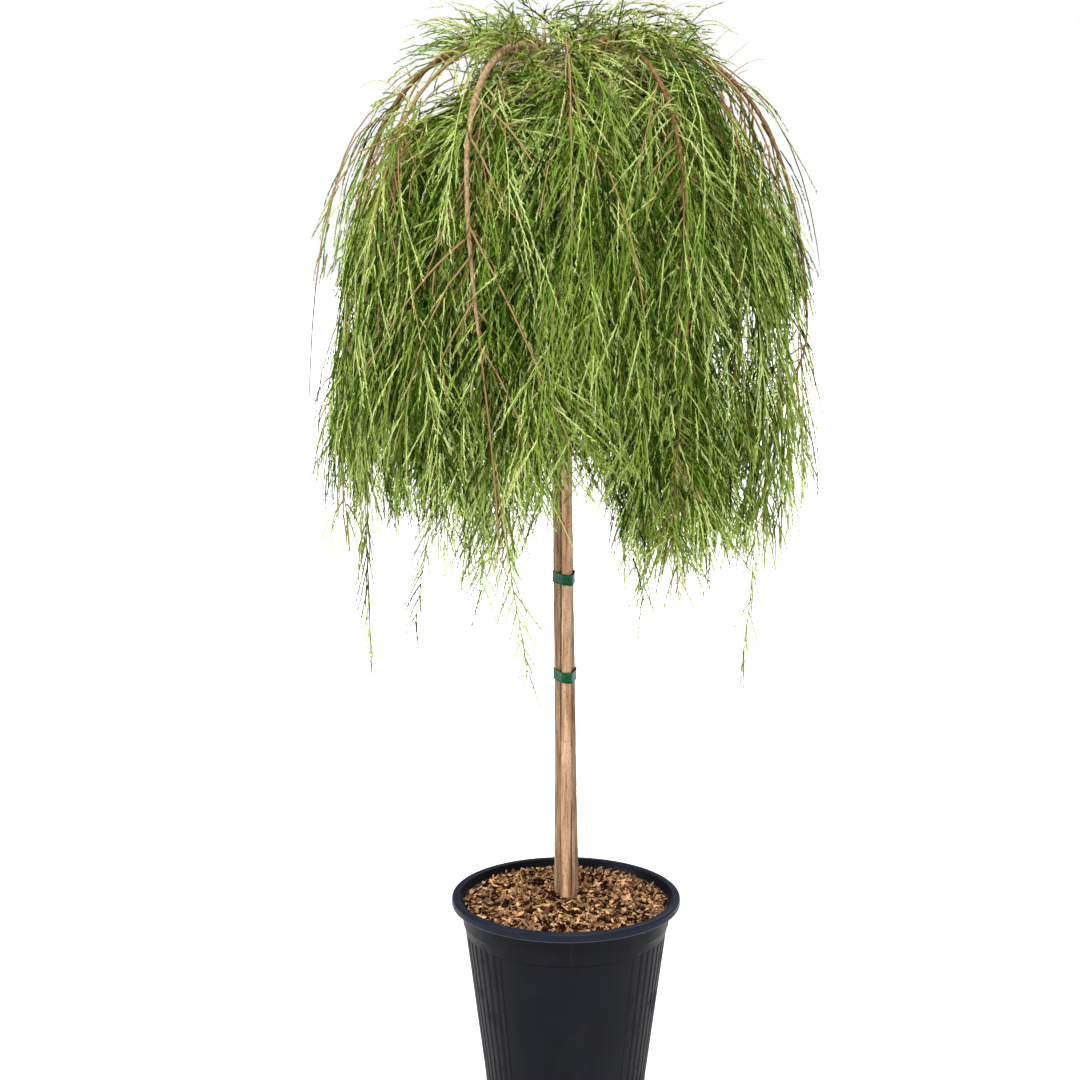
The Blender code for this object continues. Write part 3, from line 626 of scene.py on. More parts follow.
def plain(name, tone, roughness, gloss=0.5):
    """A material of one colour. Returns it with its tree and its shader's inputs."""
    material = bpy.data.materials.new(name)
    material.use_nodes = True
    shader = material.node_tree.nodes["Principled BSDF"].inputs
    shader["Base Color"].default_value = (*tone, 1)
    shader["Roughness"].default_value = roughness
    shader["Specular IOR Level"].default_value = gloss
    return material, material.node_tree, shader


def relief(tree, shader, height, strength, distance):
    """Raises the shader's surface by a height."""
    links = {"Height": height, "Strength": strength, "Distance": distance}
    tree.links.new(add_node(tree, "Bump", links).outputs[0], shader["Normal"])


def object_place(tree):
    """The place on the piece that a pattern reads."""
    return tree.nodes.new("ShaderNodeTexCoord").outputs["Object"]


def scaled(tone, *parts):
    """A tone made darker or lighter, by one part or by one for each channel."""
    return [c * part for c, part in zip(tone, parts * 3 if len(parts) == 1 else parts)]


def bark_finish(name, light, dark, scale, stretch):
    """Bark: streaks of light and dark along the limb, with dark pores and soft darker patches."""
    material, tree, shader = plain(name, light, 0.78, 0.15)
    place = object_place(tree)
    streaks = {"Stretch": stretch, "Scale": scale, "Light": light, "Dark": dark}
    grain = use_group(tree, grain_group(), Vector=place, **streaks)
    pores = {"Fleck": scaled(dark, 0.35), "Scale": 420, "Threshold": 0.60, "Strength": 0.75}
    patches = {"Fleck": scaled(light, 0.62), "Scale": 38, "Threshold": 0.52, "Strength": 0.45}
    tone = grain["Color"]
    for flecks in (pores, patches):
        tone = use_group(tree, fleck_group(), Vector=place, Color=tone, **flecks)["Color"]
    tree.links.new(tone, shader["Base Color"])
    relief(tree, shader, grain["Height"], 0.55, 0.0009)
    return material


def plastic_finish(settings):
    """Moulded plastic with a little dust: a painted highlight on the rim and a brighter one along its lower
    edge, and a dark painted shade in the groove over each panel.
    """
    material, tree, shader = plain("moulded_plastic", settings.plastic, 0.42, 0.09)
    place = object_place(tree)
    across, _, height = add_node(tree, "SeparateXYZ", {0: place}).outputs
    streaks = {"Stretch": (1, 1, 0.06), "Scale": 60}
    streaks.update(Light=settings.plastic, Dark=scaled(settings.plastic, 0.78))
    wall = use_group(tree, grain_group(), Vector=place, **streaks)
    level = add_node(tree, "VectorMath", {0: place, 1: (1, 1, 0)}, operation="MULTIPLY").outputs[0]
    radius = add_node(tree, "VectorMath", {0: level}, operation="LENGTH").outputs["Value"]
    skirt, lip = POT_HEIGHT - RIM_SKIRT, RIM_RADIUS - RIM_LIP
    # Painted highlight: the rim is paler where light catches it.
    high = ramp(tree, height, skirt - 0.004, skirt + 0.002)
    outside = ramp(tree, radius, lip - 0.001, lip + 0.001)
    tone = mix(tree, compute(tree, "MULTIPLY", high, outside), wall["Color"], settings.rim)
    # Painted shade: a dark line along the groove over each panel.
    off_groove = compute(tree, "ABSOLUTE", compute(tree, "SUBTRACT", height, PANEL_TOP))
    off_middle = compute(tree, "ABSOLUTE", across)
    groove_shade = ramp(tree, off_groove, 0.0015, 0.0007)
    groove_shade = compute(tree, "MULTIPLY", groove_shade, ramp(tree, off_middle, 0.105, 0.080))
    tone = mix(tree, groove_shade, tone, settings.groove_shade)
    # Painted highlight: a pale line along the rim's lower edge.
    off_highlight_line = compute(tree, "ABSOLUTE", compute(tree, "SUBTRACT", height, skirt + 0.0006))
    tone = mix(tree, ramp(tree, off_highlight_line, 0.0016, 0.0004), tone, settings.edge)
    dust = {"Fleck": settings.dust, "Scale": 26, "Threshold": 0.56, "Strength": 0.16}
    dusty = use_group(tree, fleck_group(), Vector=place, Color=tone, **dust)
    tree.links.new(dusty["Color"], shader["Base Color"])
    tree.links.new(compute(tree, "MULTIPLY_ADD", dusty["Mask"], 1.2, 0.38), shader["Roughness"])
    relief(tree, shader, wall["Height"], 0.16, 0.0006)
    return material


def grain_finish(name, tone, streaks, surface, bump):
    """A material of streaked grain: its plain tone, its streaks, roughness and gloss, and its relief."""
    material, tree, shader = plain(name, tone, *surface)
    grain = use_group(tree, grain_group(), Vector=object_place(tree), **streaks)
    tree.links.new(grain["Color"], shader["Base Color"])
    relief(tree, shader, grain["Height"], *bump)
    return material


def soil_finish(settings):
    """Dark crumbs."""
    streaks = {"Stretch": (1, 1, 1), "Scale": 210}
    streaks.update(Light=scaled(settings.soil, 3.2), Dark=settings.soil)
    return grain_finish("soil", settings.soil, streaks, (0.95, 0.03), (0.9, 0.003))


def chip_finish(name, tone):
    """A chip's bark or split wood, with its fibres."""
    streaks = {"Stretch": (1, 0.4, 0.4), "Scale": 480}
    streaks.update(Light=tone, Dark=scaled(tone, 0.52, 0.44, 0.36))
    return grain_finish(name, tone, streaks, (0.85, 0.04), (0.5, 0.0006))


def tape_finish(settings):
    """Glossy stretched tape with fine level creases."""
    streaks = {"Stretch": (0.25, 0.25, 2.2), "Scale": 260}
    streaks.update(Light=settings.tape, Dark=scaled(settings.tape, 0.45))
    return grain_finish("tie_tape", settings.tape, streaks, (0.36, 0.14), (0.5, 0.0007))


def foliage_finishes(settings):
    """The plain colours that are dealt out by strand, brightest first, and the twigs' bark last."""
    tones = ("bright", "fresh", "leafy", "deep_shade", "olive")
    made = [plain("needles_" + tone, getattr(settings, tone), 0.5, 0.06)[0] for tone in tones]
    return made + [plain(name, getattr(settings, name), 0.75, 0.1)[0] for name in ("twig", "pale_twig")]


# =====================================================================================================
# Pot, mulch, stems and ties
# =====================================================================================================
def wall_radius(height):
    """The pot's outer radius on the straight part of its wall, or on that part carried on."""
    return blend(BASE_RADIUS, BODY_TOP_RADIUS, (height - WALL_FOOT) / (BODY_TOP - WALL_FOOT))


def pot_profile():
    """Radius and height of the pot's skin, from the middle of the underside round to its floor."""
    skirt = POT_HEIGHT - RIM_SKIRT
    lip = RIM_RADIUS - RIM_LIP
    foot = [(FLOOR_DISC, 0.0010), (BASE_RADIUS - 0.0095, 0.0010)]
    foot += [(BASE_RADIUS - 0.0085, 0.0), (BASE_RADIUS - 0.006, 0.0)]
    foot += rounded((BASE_RADIUS - 0.0045, 0.0045), 0.0045, -80, 0, 4)
    rows = (0.012, 0.0155, PANEL_TOP - 0.0012, PANEL_TOP, BODY_TOP - 0.004, BODY_TOP)
    wall = [(wall_radius(row), row) for row in rows]
    collar = [(COLLAR_RADIUS - 0.0022, COLLAR_FOOT - 0.001), (COLLAR_RADIUS - 0.0012, COLLAR_FOOT + 0.001)]
    collar += [(COLLAR_RADIUS - 0.0006, COLLAR_FOOT + 0.015), (COLLAR_RADIUS, skirt)]
    rim = [(RIM_RADIUS - 0.0045, skirt + 0.0001)]
    rim += rounded((RIM_RADIUS - 0.0022, skirt + 0.0024), 0.0022, -80, 0, 4)
    rim += rounded((RIM_RADIUS - 0.0042, POT_HEIGHT - 0.0042), 0.0042, 0, 90, 6)
    rim += rounded((lip + 0.002, POT_HEIGHT - 0.002), 0.002, 90, 180, 4)
    inside = [
        (COLLAR_RADIUS - POT_WALL, skirt),
        (COLLAR_RADIUS - 0.002 - POT_WALL, COLLAR_FOOT + 0.001),
        (BODY_TOP_RADIUS - POT_WALL, BODY_TOP),
        (BASE_RADIUS - POT_WALL - 0.0005, POT_WALL),
        (FLOOR_DISC, POT_WALL),
    ]
    return foot + wall + collar + rim + inside


def around(points):
    """The azimuth of points in degrees."""
    return np.degrees(np.arctan2(points[:, 1], points[:, 0]))


def off_panel(azimuth):
    """Degrees from the middle of the nearer of the front and back panels."""
    return np.abs(np.abs(azimuth) - 90)


def press_in(pot, wanted, depth):
    """Moves the chosen part of the pot's outer wall towards its axis."""
    select_points(pot, wanted)
    part = 1 - depth / blend(BASE_RADIUS, BODY_TOP_RADIUS, 0.5)
    bpy.ops.transform.resize(value=(part, part, 1), center_override=(0, 0, 0))
    bpy.ops.object.mode_set(mode="OBJECT")


def outer_wall(points, low, high):
    """Which points lie on the outside of the pot's body between two heights."""
    radius = np.hypot(points[:, 0], points[:, 1])
    skin = wall_radius(points[:, 2]) - POT_WALL / 2
    return (radius > skin) & (points[:, 2] > low) & (points[:, 2] < high)


def cut_drains(pot):
    """Cuts the ring of drain holes in the floor."""
    deselect()
    for hole in range(DRAIN_HOLES):
        centre = polar(DRAIN_RING, 360 * (hole + 0.5) / DRAIN_HOLES, 0)
        bpy.ops.mesh.primitive_cylinder_add(vertices=24, radius=DRAIN_RADIUS, depth=0.03, location=centre)
        cutter = bpy.context.object
        modifier = pot.modifiers.new("drain", "BOOLEAN")
        modifier.object = cutter
        apply_all(pot)
        bpy.data.objects.remove(cutter)


class SHEOAK_OT_pot(bpy.types.Operator):
    """Turns the pot, presses in its panels and flutes and drills its floor"""

    bl_idname = "sheoak.pot"
    bl_label = "Nursery pot"

    def execute(self, context):
        settings = context.scene.sheoak_pot
        sides = settings.sides // RIB_SIDES * RIB_SIDES
        pot = turned("nursery_pot", pot_profile(), sides)
        points = points_of(pot)
        azimuth = around(points)
        column = np.round(azimuth * sides / 360).astype(int) % RIB_SIDES
        off = off_panel(azimuth)
        panel = (off < PANEL_HALF_ANGLE) & outer_wall(points, PANEL_FOOT, PANEL_TOP - 0.0005)
        press_in(pot, panel, settings.panel_depth)
        flute = (off > PANEL_HALF_ANGLE + 1) & (column > 2)
        press_in(pot, flute & outer_wall(points, PANEL_FOOT, BODY_TOP - 0.002), settings.flute_depth)
        self.ease_collar(pot)
        radius, height = np.hypot(points[:, 0], points[:, 1]), points[:, 2]
        on_collar = (height > COLLAR_FOOT - 0.002) & (height < POT_HEIGHT - RIM_SKIRT + 0.0001)
        nub = (np.abs(off - NUB_AZIMUTH) < 0.5) & (azimuth % 180 > 90)
        press_in(pot, nub & on_collar & (radius > BODY_TOP_RADIUS - 0.001), -NUB_HEIGHT)
        cut_drains(pot)
        bpy.ops.object.shade_smooth_by_angle(angle=math.radians(9))
        wear(pot, plastic_finish(settings))
        settle(pot, "pot_plastic", "pot")
        return {"FINISHED"}

    def ease_collar(self, pot):
        """Runs the wall straight up to the rim in front and behind, where the collar has no ledge."""
        points = points_of(pot)
        radius, height = np.hypot(points[:, 0], points[:, 1]), points[:, 2]
        straight = wall_radius(height)
        band = (height > BODY_TOP - 0.0001) & (height < POT_HEIGHT - RIM_SKIRT + 0.00005)
        band &= radius > straight - POT_WALL / 2
        eased = np.clip((PANEL_HALF_ANGLE + 12 - off_panel(around(points))) / 10, 0, 1)
        part = np.where(band, blend(1, straight / radius, eased), 1)
        points[:, :2] *= part[:, None]
        set_points(pot, points)


def fill_height(radius):
    """Height of the mulch at a radius, heaped a little round the stems."""
    part = np.clip((radius - FILL_SEAT) / (FILL_RADIUS - FILL_SEAT), 0, 1)
    return blend(FILL_EDGE, FILL_CROWN, np.cos(part * math.pi / 2) ** 0.8)


def roughened(points, size, depth, seed):
    """Points moved up and down by a soft noise of a given size."""
    offset = Vector((seed, seed * 2, 0))
    lift = [noise.noise(Vector(p) / size + offset) * depth for p in points]
    points[:, 2] += lift
    return points


class SHEOAK_OT_mulch(bpy.types.Operator):
    """Fills the pot and strews bark chips over the soil"""

    bl_idname = "sheoak.mulch"
    bl_label = "Bark mulch"

    def execute(self, context):
        settings = context.scene.sheoak_mulch
        inset = POT_WALL + FILL_CLEAR
        wall = [(FLOOR_DISC, inset), (BASE_RADIUS - 0.0005 - inset, inset)]
        wall.append((BODY_TOP_RADIUS - inset, BODY_TOP))
        rings = np.linspace(FILL_RADIUS, 0.004, 34)
        soil = turned("soil", wall + [(r, fill_height(r)) for r in rings], 120)
        points = points_of(soil)
        on_top = points[:, 2] > FILL_EDGE - 0.001
        points[on_top] = roughened(points[on_top], 0.009, 0.0022, 3)
        points[on_top, 2] -= 0.0025
        set_points(soil, points)
        bpy.ops.object.shade_smooth()
        wear(soil, soil_finish(settings))
        settle(soil, "bark_mulch", "bark_mulch")
        light, dark = Vector(settings.light), Vector(settings.dark)
        tones = [tuple(dark.lerp(light, part)) for part in CHIP_TONES]
        finishes = [chip_finish(f"bark_chip_{k}", tone) for k, tone in enumerate(tones)]
        settle(strew_chips(settings, finishes), "bark_mulch")
        return {"FINISHED"}


def turn_matrices(yaw, pitch, roll):
    """Rotation matrices from three arrays of angles in radians."""
    (cy, cp, cr), (sy, sp, sr) = [[f(angle) for angle in (yaw, pitch, roll)] for f in (np.cos, np.sin)]
    rows = [
        [cy * cp, cy * sp * sr - sy * cr, cy * sp * cr + sy * sr],
        [sy * cp, sy * sp * sr + cy * cr, sy * sp * cr - cy * sr],
        [-sp, cp * sr, cp * cr],
    ]
    return np.moveaxis(np.array(rows), 2, 0)


def strew_chips(settings, finishes):
    """The bark chips, as one joined mesh of curled slivers that lie as they fell."""
    dice = np.random.default_rng(5)
    many = settings.chips
    size = np.stack(
        [
            settings.chip_length * dice.uniform(0.22, 1, many),
            settings.chip_length * dice.uniform(0.10, 0.30, many),
            dice.uniform(0.0007, 0.0020, many),
        ],
        axis=1,
    )
    long_ones = dice.random(many) < LONG_CHIPS
    size[long_ones, 0] *= 2.0
    curl = np.where(long_ones, 0.3, 1) * dice.normal(0, 1.1, many)
    curl = np.where(np.abs(curl) < 0.05, 0.05, curl)
    place = np.linspace(-0.5, 0.5, CHIP_STEPS)
    bend = curl[:, None] * place
    bow = (size[:, 0] / curl)[:, None]
    middle = np.stack([bow * np.sin(bend), bend * 0, bow * (1 - np.cos(bend))], axis=-1)
    corners = np.array([[-1, -1], [1, -1], [1, 1], [-1, 1]]) / 2
    corners = corners * size[:, None, None, 1:] * dice.uniform(0.55, 1.2, (many, CHIP_STEPS, 4, 2))
    corners *= (1 - 1.2 * place**2)[:, None, None]
    rings = np.repeat(middle[:, :, None], 4, axis=2)
    rings[..., 0] -= corners[..., 1] * np.sin(bend)[..., None]
    rings[..., 1] += corners[..., 0]
    rings[..., 2] += corners[..., 1] * np.cos(bend)[..., None]
    shapes = rings.reshape(many, -1, 3)
    yaw = dice.uniform(0, math.tau, many)
    pitch, roll = dice.normal(0, 0.42, many), dice.normal(0, 0.65, many)
    shapes = np.einsum("nij,nkj->nki", turn_matrices(yaw, pitch, roll), shapes)
    azimuth, radius = dice.uniform(0, math.tau, many), (FILL_RADIUS - 0.003) * np.sqrt(dice.random(many))
    place = np.stack([radius * np.cos(azimuth), radius * np.sin(azimuth), fill_height(radius)], axis=1)
    place[:, 2] += dice.uniform(-0.0020, 0.0050, many)
    off_heap = ((place[:, :2] - HEAP_PLACE) ** 2).sum(1)
    place[:, 2] += HEAP_HEIGHT * np.exp(-off_heap / HEAP_SPREAD**2)
    low = (np.arange(CHIP_STEPS - 1) * 4)[:, None] + np.arange(4)
    after = (np.arange(CHIP_STEPS - 1) * 4)[:, None] + (np.arange(4) + 1) % 4
    sides = np.stack([low, after, after + 4, low + 4], axis=-1).reshape(-1, 4)
    last = (CHIP_STEPS - 1) * 4
    faces = np.concatenate([sides, [[3, 2, 1, 0], [last, last + 1, last + 2, last + 3]]])
    tones = np.repeat(dice.choice(len(CHIP_SHARES), many, p=CHIP_SHARES), len(faces))
    faces = faces[None] + (np.arange(many) * 4 * CHIP_STEPS)[:, None, None]
    points = (shapes + place[:, None]).reshape(-1, 3)
    return array_mesh("bark_chips", points, faces.reshape(-1, 4), tones, finishes)


def array_mesh(name, points, faces, tones, materials, smooth=False):
    """An object from arrays of points and of faces that all have as many corners."""
    mesh = bpy.data.meshes.new(name)
    mesh.vertices.add(len(points))
    mesh.vertices.foreach_set("co", np.asarray(points, np.float32).ravel())
    mesh.loops.add(faces.size)
    mesh.loops.foreach_set("vertex_index", faces.astype(np.int32).ravel())
    mesh.polygons.add(len(faces))
    mesh.polygons.foreach_set("loop_start", np.arange(0, faces.size, faces.shape[1], dtype=np.int32))
    mesh.polygons.foreach_set("use_smooth", np.full(len(faces), smooth))
    thing = bpy.data.objects.new(name, mesh)
    bpy.context.scene.collection.objects.link(thing)
    for material in materials:
        mesh.materials.append(material)
    mesh.polygons.foreach_set("material_index", np.asarray(tones, np.int32))
    mesh.update(calc_edges=True)
    mesh.validate()
    return thing


def trunk_axis(height):
    """The middle of the trunk, which leans and sways a little."""
    part = (height - TRUNK_FOOT) / (TRUNK_TOP - TRUNK_FOOT)
    sway = 0.0006 * math.sin(part * 9)
    return Vector((blend(*TRUNK_LEAN, min(part * 1.6, 1)) * (1 - 0.9 * part**6) + sway, 0, height))


def trunk_radius(height):
    """Taper, root flare and the swelling at the graft."""
    part = (height - TRUNK_FOOT) / (TRUNK_TOP - TRUNK_FOOT)
    taper = blend(TRUNK_FOOT_RADIUS, TRUNK_NECK_RADIUS, part)
    flare = TRUNK_FLARE * math.exp(-(height - TRUNK_FOOT) / FLARE_HEIGHT)
    knob = KNOB_SWELL * math.exp(-(((height - KNOB_HEIGHT) / KNOB_SPREAD) ** 2))
    return taper + flare + knob


def companion_radius(height):
    part = (height - TRUNK_FOOT) / (COMPANION_TOP - TRUNK_FOOT)
    return blend(COMPANION_FOOT_RADIUS, COMPANION_TOP_RADIUS, part)


def companion_axis(height):
    """In front of the trunk, shifting to its right above the foot, and just clear of it."""
    low, high = COMPANION_TWIST
    part = min(max((height - low) / (high - low), 0), 1)
    apart = trunk_radius(height) + companion_radius(height) + STEM_GAP
    azimuth = blend(*COMPANION_TURN, part * part * (3 - 2 * part))
    return trunk_axis(height) + polar(apart, azimuth, 0)


def limb(name, path, radii, sides):
    """A round limb: a path curve with its taper at its points, made a mesh and closed."""
    deselect()
    bpy.ops.curve.primitive_nurbs_path_add(location=(0, 0, 0))
    curve = bpy.context.object.data
    curve.splines.clear()
    line = curve.splines.new("POLY")
    line.points.add(len(path) - 1)
    line.points.foreach_set("co", [c for point in path for c in (*point, 1)])
    line.points.foreach_set("radius", [radius / 0.001 for radius in radii])
    curve.bevel_depth = 0.001
    curve.bevel_resolution = sides // 2 - 2
    curve.use_fill_caps = True
    bpy.ops.object.convert(target="MESH")
    thing = name_active(name)
    bpy.ops.object.mode_set(mode="EDIT")
    bpy.ops.mesh.select_all(action="SELECT")
    bpy.ops.mesh.remove_doubles(threshold=0.00001)
    face_out()
    bpy.ops.object.shade_smooth()
    return thing


def carve_bark(thing, path, depth, grain, stretch, knots=0.0):
    """Raises the bark's ridges on a limb, and swells it at each knot along its path."""
    points = points_of(thing)
    line = np.array([tuple(p) for p in path])
    tree = kdtree.KDTree(len(line))
    for k, spot in enumerate(line):
        tree.insert(spot, k)
    tree.balance()
    nearest = np.array([tree.find(point)[1] for point in points])
    along = np.gradient(line, axis=0)
    along /= np.linalg.norm(along, axis=1, keepdims=True)
    off = points - line[nearest]
    off -= along[nearest] * (off * along[nearest]).sum(1, keepdims=True)
    reach = np.linalg.norm(off, axis=1, keepdims=True)
    run = np.concatenate([[0], np.cumsum(np.linalg.norm(np.diff(line, axis=0), axis=1))])[nearest]
    lift = np.empty(len(points))
    for k, point in enumerate(points):
        spot = Vector((point[0] / grain, point[1] / grain, point[2] / grain / stretch))
        lift[k] = noise.noise(spot) + 0.5 * noise.noise(spot * 2.3)
    swell = knots * np.exp(-(((run % KNOT_SPACING) - KNOT_SPACING / 2) ** 2) / KNOT_WIDTH**2)
    set_points(thing, points + off / np.maximum(reach, 1e-6) * (lift * depth + swell)[:, None])


class SHEOAK_OT_stems(bpy.types.Operator):
    """The trunk with its graft, and the slimmer stem that grows up against it"""

    bl_idname = "sheoak.stems"
    bl_label = "Stems"

    def execute(self, context):
        settings = context.scene.sheoak_bark
        old = bark_finish("stem_bark", settings.light, settings.dark, *STEM_GRAIN)
        fresh = bark_finish("companion_bark", settings.fresh_light, settings.fresh_dark, *STEM_GRAIN)
        heights = np.linspace(TRUNK_FOOT, TRUNK_TOP, 420)
        path = [trunk_axis(h) for h in heights]
        radii = [trunk_radius(h) for h in heights]
        for k in range(6):
            radii[-1 - k] *= blend(0.55, 1, k / 6)
        trunk = limb("trunk_bark", path, radii, settings.sides)
        carve_bark(trunk, path, settings.relief, 0.0032, 7)
        wear(trunk, old)
        settle(trunk, "bark", "trunk")
        heights = np.linspace(TRUNK_FOOT, COMPANION_TOP, 380)
        path = [companion_axis(h) for h in heights]
        radii = [companion_radius(h) for h in heights]
        companion = limb("companion_bark", path, radii, settings.sides - 12)
        carve_bark(companion, path, settings.relief * 0.85, 0.0030, 7)
        wear(companion, fresh)
        settle(companion, "bark", "companion_stem")
        # Painted shade: dark strips laid along the crevices between the stems.
        shade = plain("painted_shade_bark", settings.seam, 0.9, 0.1)[0]
        for name, (side, low, top) in SHADE_SEAMS.items():
            heights = np.linspace(low, top, int((top - low) / 0.006))
            path = [self.shade_seam_place(height, side) for height in heights]
            radii = np.full(len(path), SHADE_SEAM_RADIUS)
            radii[-4:] = SHADE_SEAM_ENDS
            radii[:4] = radii[-1:-5:-1]
            seam = limb(f"bark_seam_{name}", path, list(radii), 8)
            wear(seam, shade)
            settle(seam, "bark")
        return {"FINISHED"}

    def shade_seam_place(self, height, side):
        """Where the painted shade strip between the stems lies beside the companion, on the trunk's face.
        """
        spot, radius = companion_axis(height), trunk_radius(height)
        edge = spot.x + side * (companion_radius(height) + 0.0002) - trunk_axis(height).x
        return trunk_axis(height) + Vector((edge, -math.sqrt(max(radius**2 - edge**2, 0)) - 0.0006, 0))


def wrap_radius(height, azimuth, offset):
    """The taut outline round both stems at one height, in one direction."""
    stems = [(trunk_axis(height), trunk_radius(height)), (companion_axis(height), companion_radius(height))]
    facing = polar(1, azimuth, 0)
    centre, radius = max(stems, key=lambda stem: stem[0].dot(facing) + stem[1])
    return centre + facing * (radius + offset)


class SHEOAK_OT_ties(bpy.types.Operator):
    """Bands of tape wound round both stems, each with its loose end laid over"""

    bl_idname = "sheoak.ties"
    bl_label = "Ties"

    def execute(self, context):
        settings = context.scene.sheoak_ties
        finish = tape_finish(settings)
        for name, height in TIE_HEIGHTS.items():
            band = wind_tape(name + "_tape", height, settings)
            wear(band, finish)
            settle(band, "tie_tape", name)
        return {"FINISHED"}


def wind_tape(name, height, settings):
    """A ring of tape drawn out upwards in rows, its edges rolled and its end doubled."""
    rows = 9
    low = height - settings.breadth / 2
    band = start_ring(name, 120, 0.02, low)
    step = {"value": (0, 0, settings.breadth / (rows - 1))}
    for _ in range(rows - 1):
        bpy.ops.mesh.extrude_region_move(TRANSFORM_OT_translate=step)
    face_out()
    points = points_of(band)
    for k, azimuth in enumerate(around(points)):
        row = (points[k][2] - low) / settings.breadth * 2 - 1
        doubled = settings.thickness * (TIE_DOUBLED[0] < azimuth < TIE_DOUBLED[1])
        rolled = 0.0005 * abs(row) ** 6
        crease = 0.00022 * noise.noise(Vector((azimuth / 9, row * 2.2, height * 30)))
        spot = wrap_radius(height, azimuth, STEM_GAP * 0.5 + doubled + rolled + crease)
        points[k] = (spot.x, spot.y, points[k][2] + 0.0004 * math.sin(math.radians(azimuth * 2)))
    set_points(band, points)
    modifier = band.modifiers.new("thickness", "SOLIDIFY")
    modifier.thickness = settings.thickness
    modifier.offset = 1
    apply_all(band)
    bpy.ops.object.shade_smooth_by_angle(angle=math.radians(50))
    return band


# =====================================================================================================
# Boughs
# =====================================================================================================
def dome(turn, azimuth, form):
    """The points that lie turn degrees down the dome, from 0 at the top to 90 at its upright side."""
    reach, rise, square = form
    turn, azimuth = np.broadcast_arrays(np.asarray(turn, float), np.asarray(azimuth, float))
    angle, facing = np.radians(np.minimum(turn, 90)), np.radians(azimuth)
    out = DOME_RADIUS * reach * np.sin(angle) ** (2 / square)
    height = DOME_FOOT + (DOME_RISE + rise) * np.maximum(np.cos(angle), 0) ** (2 / square)
    height = height - np.radians(np.maximum(turn - 90, 0)) * DOME_RADIUS
    return np.stack([out * np.cos(facing), out * np.sin(facing), height], axis=-1)


def slope(turn, azimuth, form):
    """The direction down the dome at a turn."""
    return Vector(dome(turn + 0.5, azimuth, form) - dome(turn - 0.5, azimuth, form)).normalized()


def bezier(a, b, c, d, part):
    rest = 1 - part
    return a * rest**3 + b * 3 * rest**2 * part + c * 3 * rest * part**2 + d * part**3


def arch_path(azimuth, exit_height, climb, bend, form, base_radius, steps):
    """From the knob, up and over to the dome, which it joins in line."""
    out = polar(1, azimuth, 0)
    leave = (out + UP * climb).normalized()
    start = trunk_axis(exit_height) + out * (trunk_radius(exit_height) * 0.86 + leave.z * base_radius * 0.5)
    end = Vector(dome(bend, azimuth, form))
    along = slope(bend, azimuth, form)
    span = (end - start).length
    near, far = start + leave * span * 0.42, end - along * span * 0.40
    return [bezier(start, near, far, end, k / steps) for k in range(steps + 1)]


def swung(azimuth, swing, turn):
    """A bough's azimuth at a turn, as it swings on its way down."""
    part = np.maximum((turn - BOUGH_BEND) / (BOUGH_TIP - BOUGH_BEND), 0)
    return azimuth + swing * part**SWING_POWER


class SHEOAK_OT_boughs(bpy.types.Operator):
    """The limbs that leave the graft, arch over and run down the crown"""

    bl_idname = "sheoak.boughs"
    bl_label = "Boughs"

    def execute(self, context):
        settings = context.scene.sheoak_bark
        pale = bark_finish("pale_limb_bark", settings.limb_light, settings.limb_dark, *LIMB_GRAIN)
        old = bark_finish("old_limb_bark", settings.old_light, settings.old_dark, *LIMB_GRAIN)
        for name, (azimuth, swing, radius, reach) in LONG_BOUGHS.items():
            form = (reach, 0, DOME_SQUARE)
            path = arch_path(azimuth, *LONG_EXIT, BOUGH_BEND, form, radius, 40)
            turns = np.linspace(BOUGH_BEND, BOUGH_TIP, 110)[1:]
            path += [Vector(dome(turn, swung(azimuth, swing, turn), form)) for turn in turns]
            radii = [*np.linspace(radius, radius * 0.88, 41)]
            radii += [*np.linspace(radius * 0.87, radius * LONG_TAPER, 109)]
            thing = self.grow(f"limb_{name}", path, radii, pale if name == "front_left" else old)
            settle(thing, "twig_bark", f"bough_{name}_arch", f"bough_{name}_drop")
        for name, (azimuth, radius, *form) in SHORT_BOUGHS.items():
            path = arch_path(azimuth, *SHORT_EXIT, SHORT_BEND, form, radius, 44)
            thing = self.grow(f"limb_{name}", path, np.linspace(radius, radius * SHORT_TAPER, 45), old)
            settle(thing, "twig_bark", f"bough_{name}")
        return {"FINISHED"}

    def grow(self, name, path, radii, finish):
        thing = limb(name, path, list(radii), 14)
        carve_bark(thing, path, max(radii) * 0.09, 0.0035, 1.6, max(radii) * 0.14)
        wear(thing, finish)
        return thing


# =====================================================================================================
# Crown
# =====================================================================================================
def unit(vectors):
    """The vectors at a length of one."""
    return vectors / np.maximum(np.linalg.norm(vectors, axis=-1, keepdims=True), 1e-9)


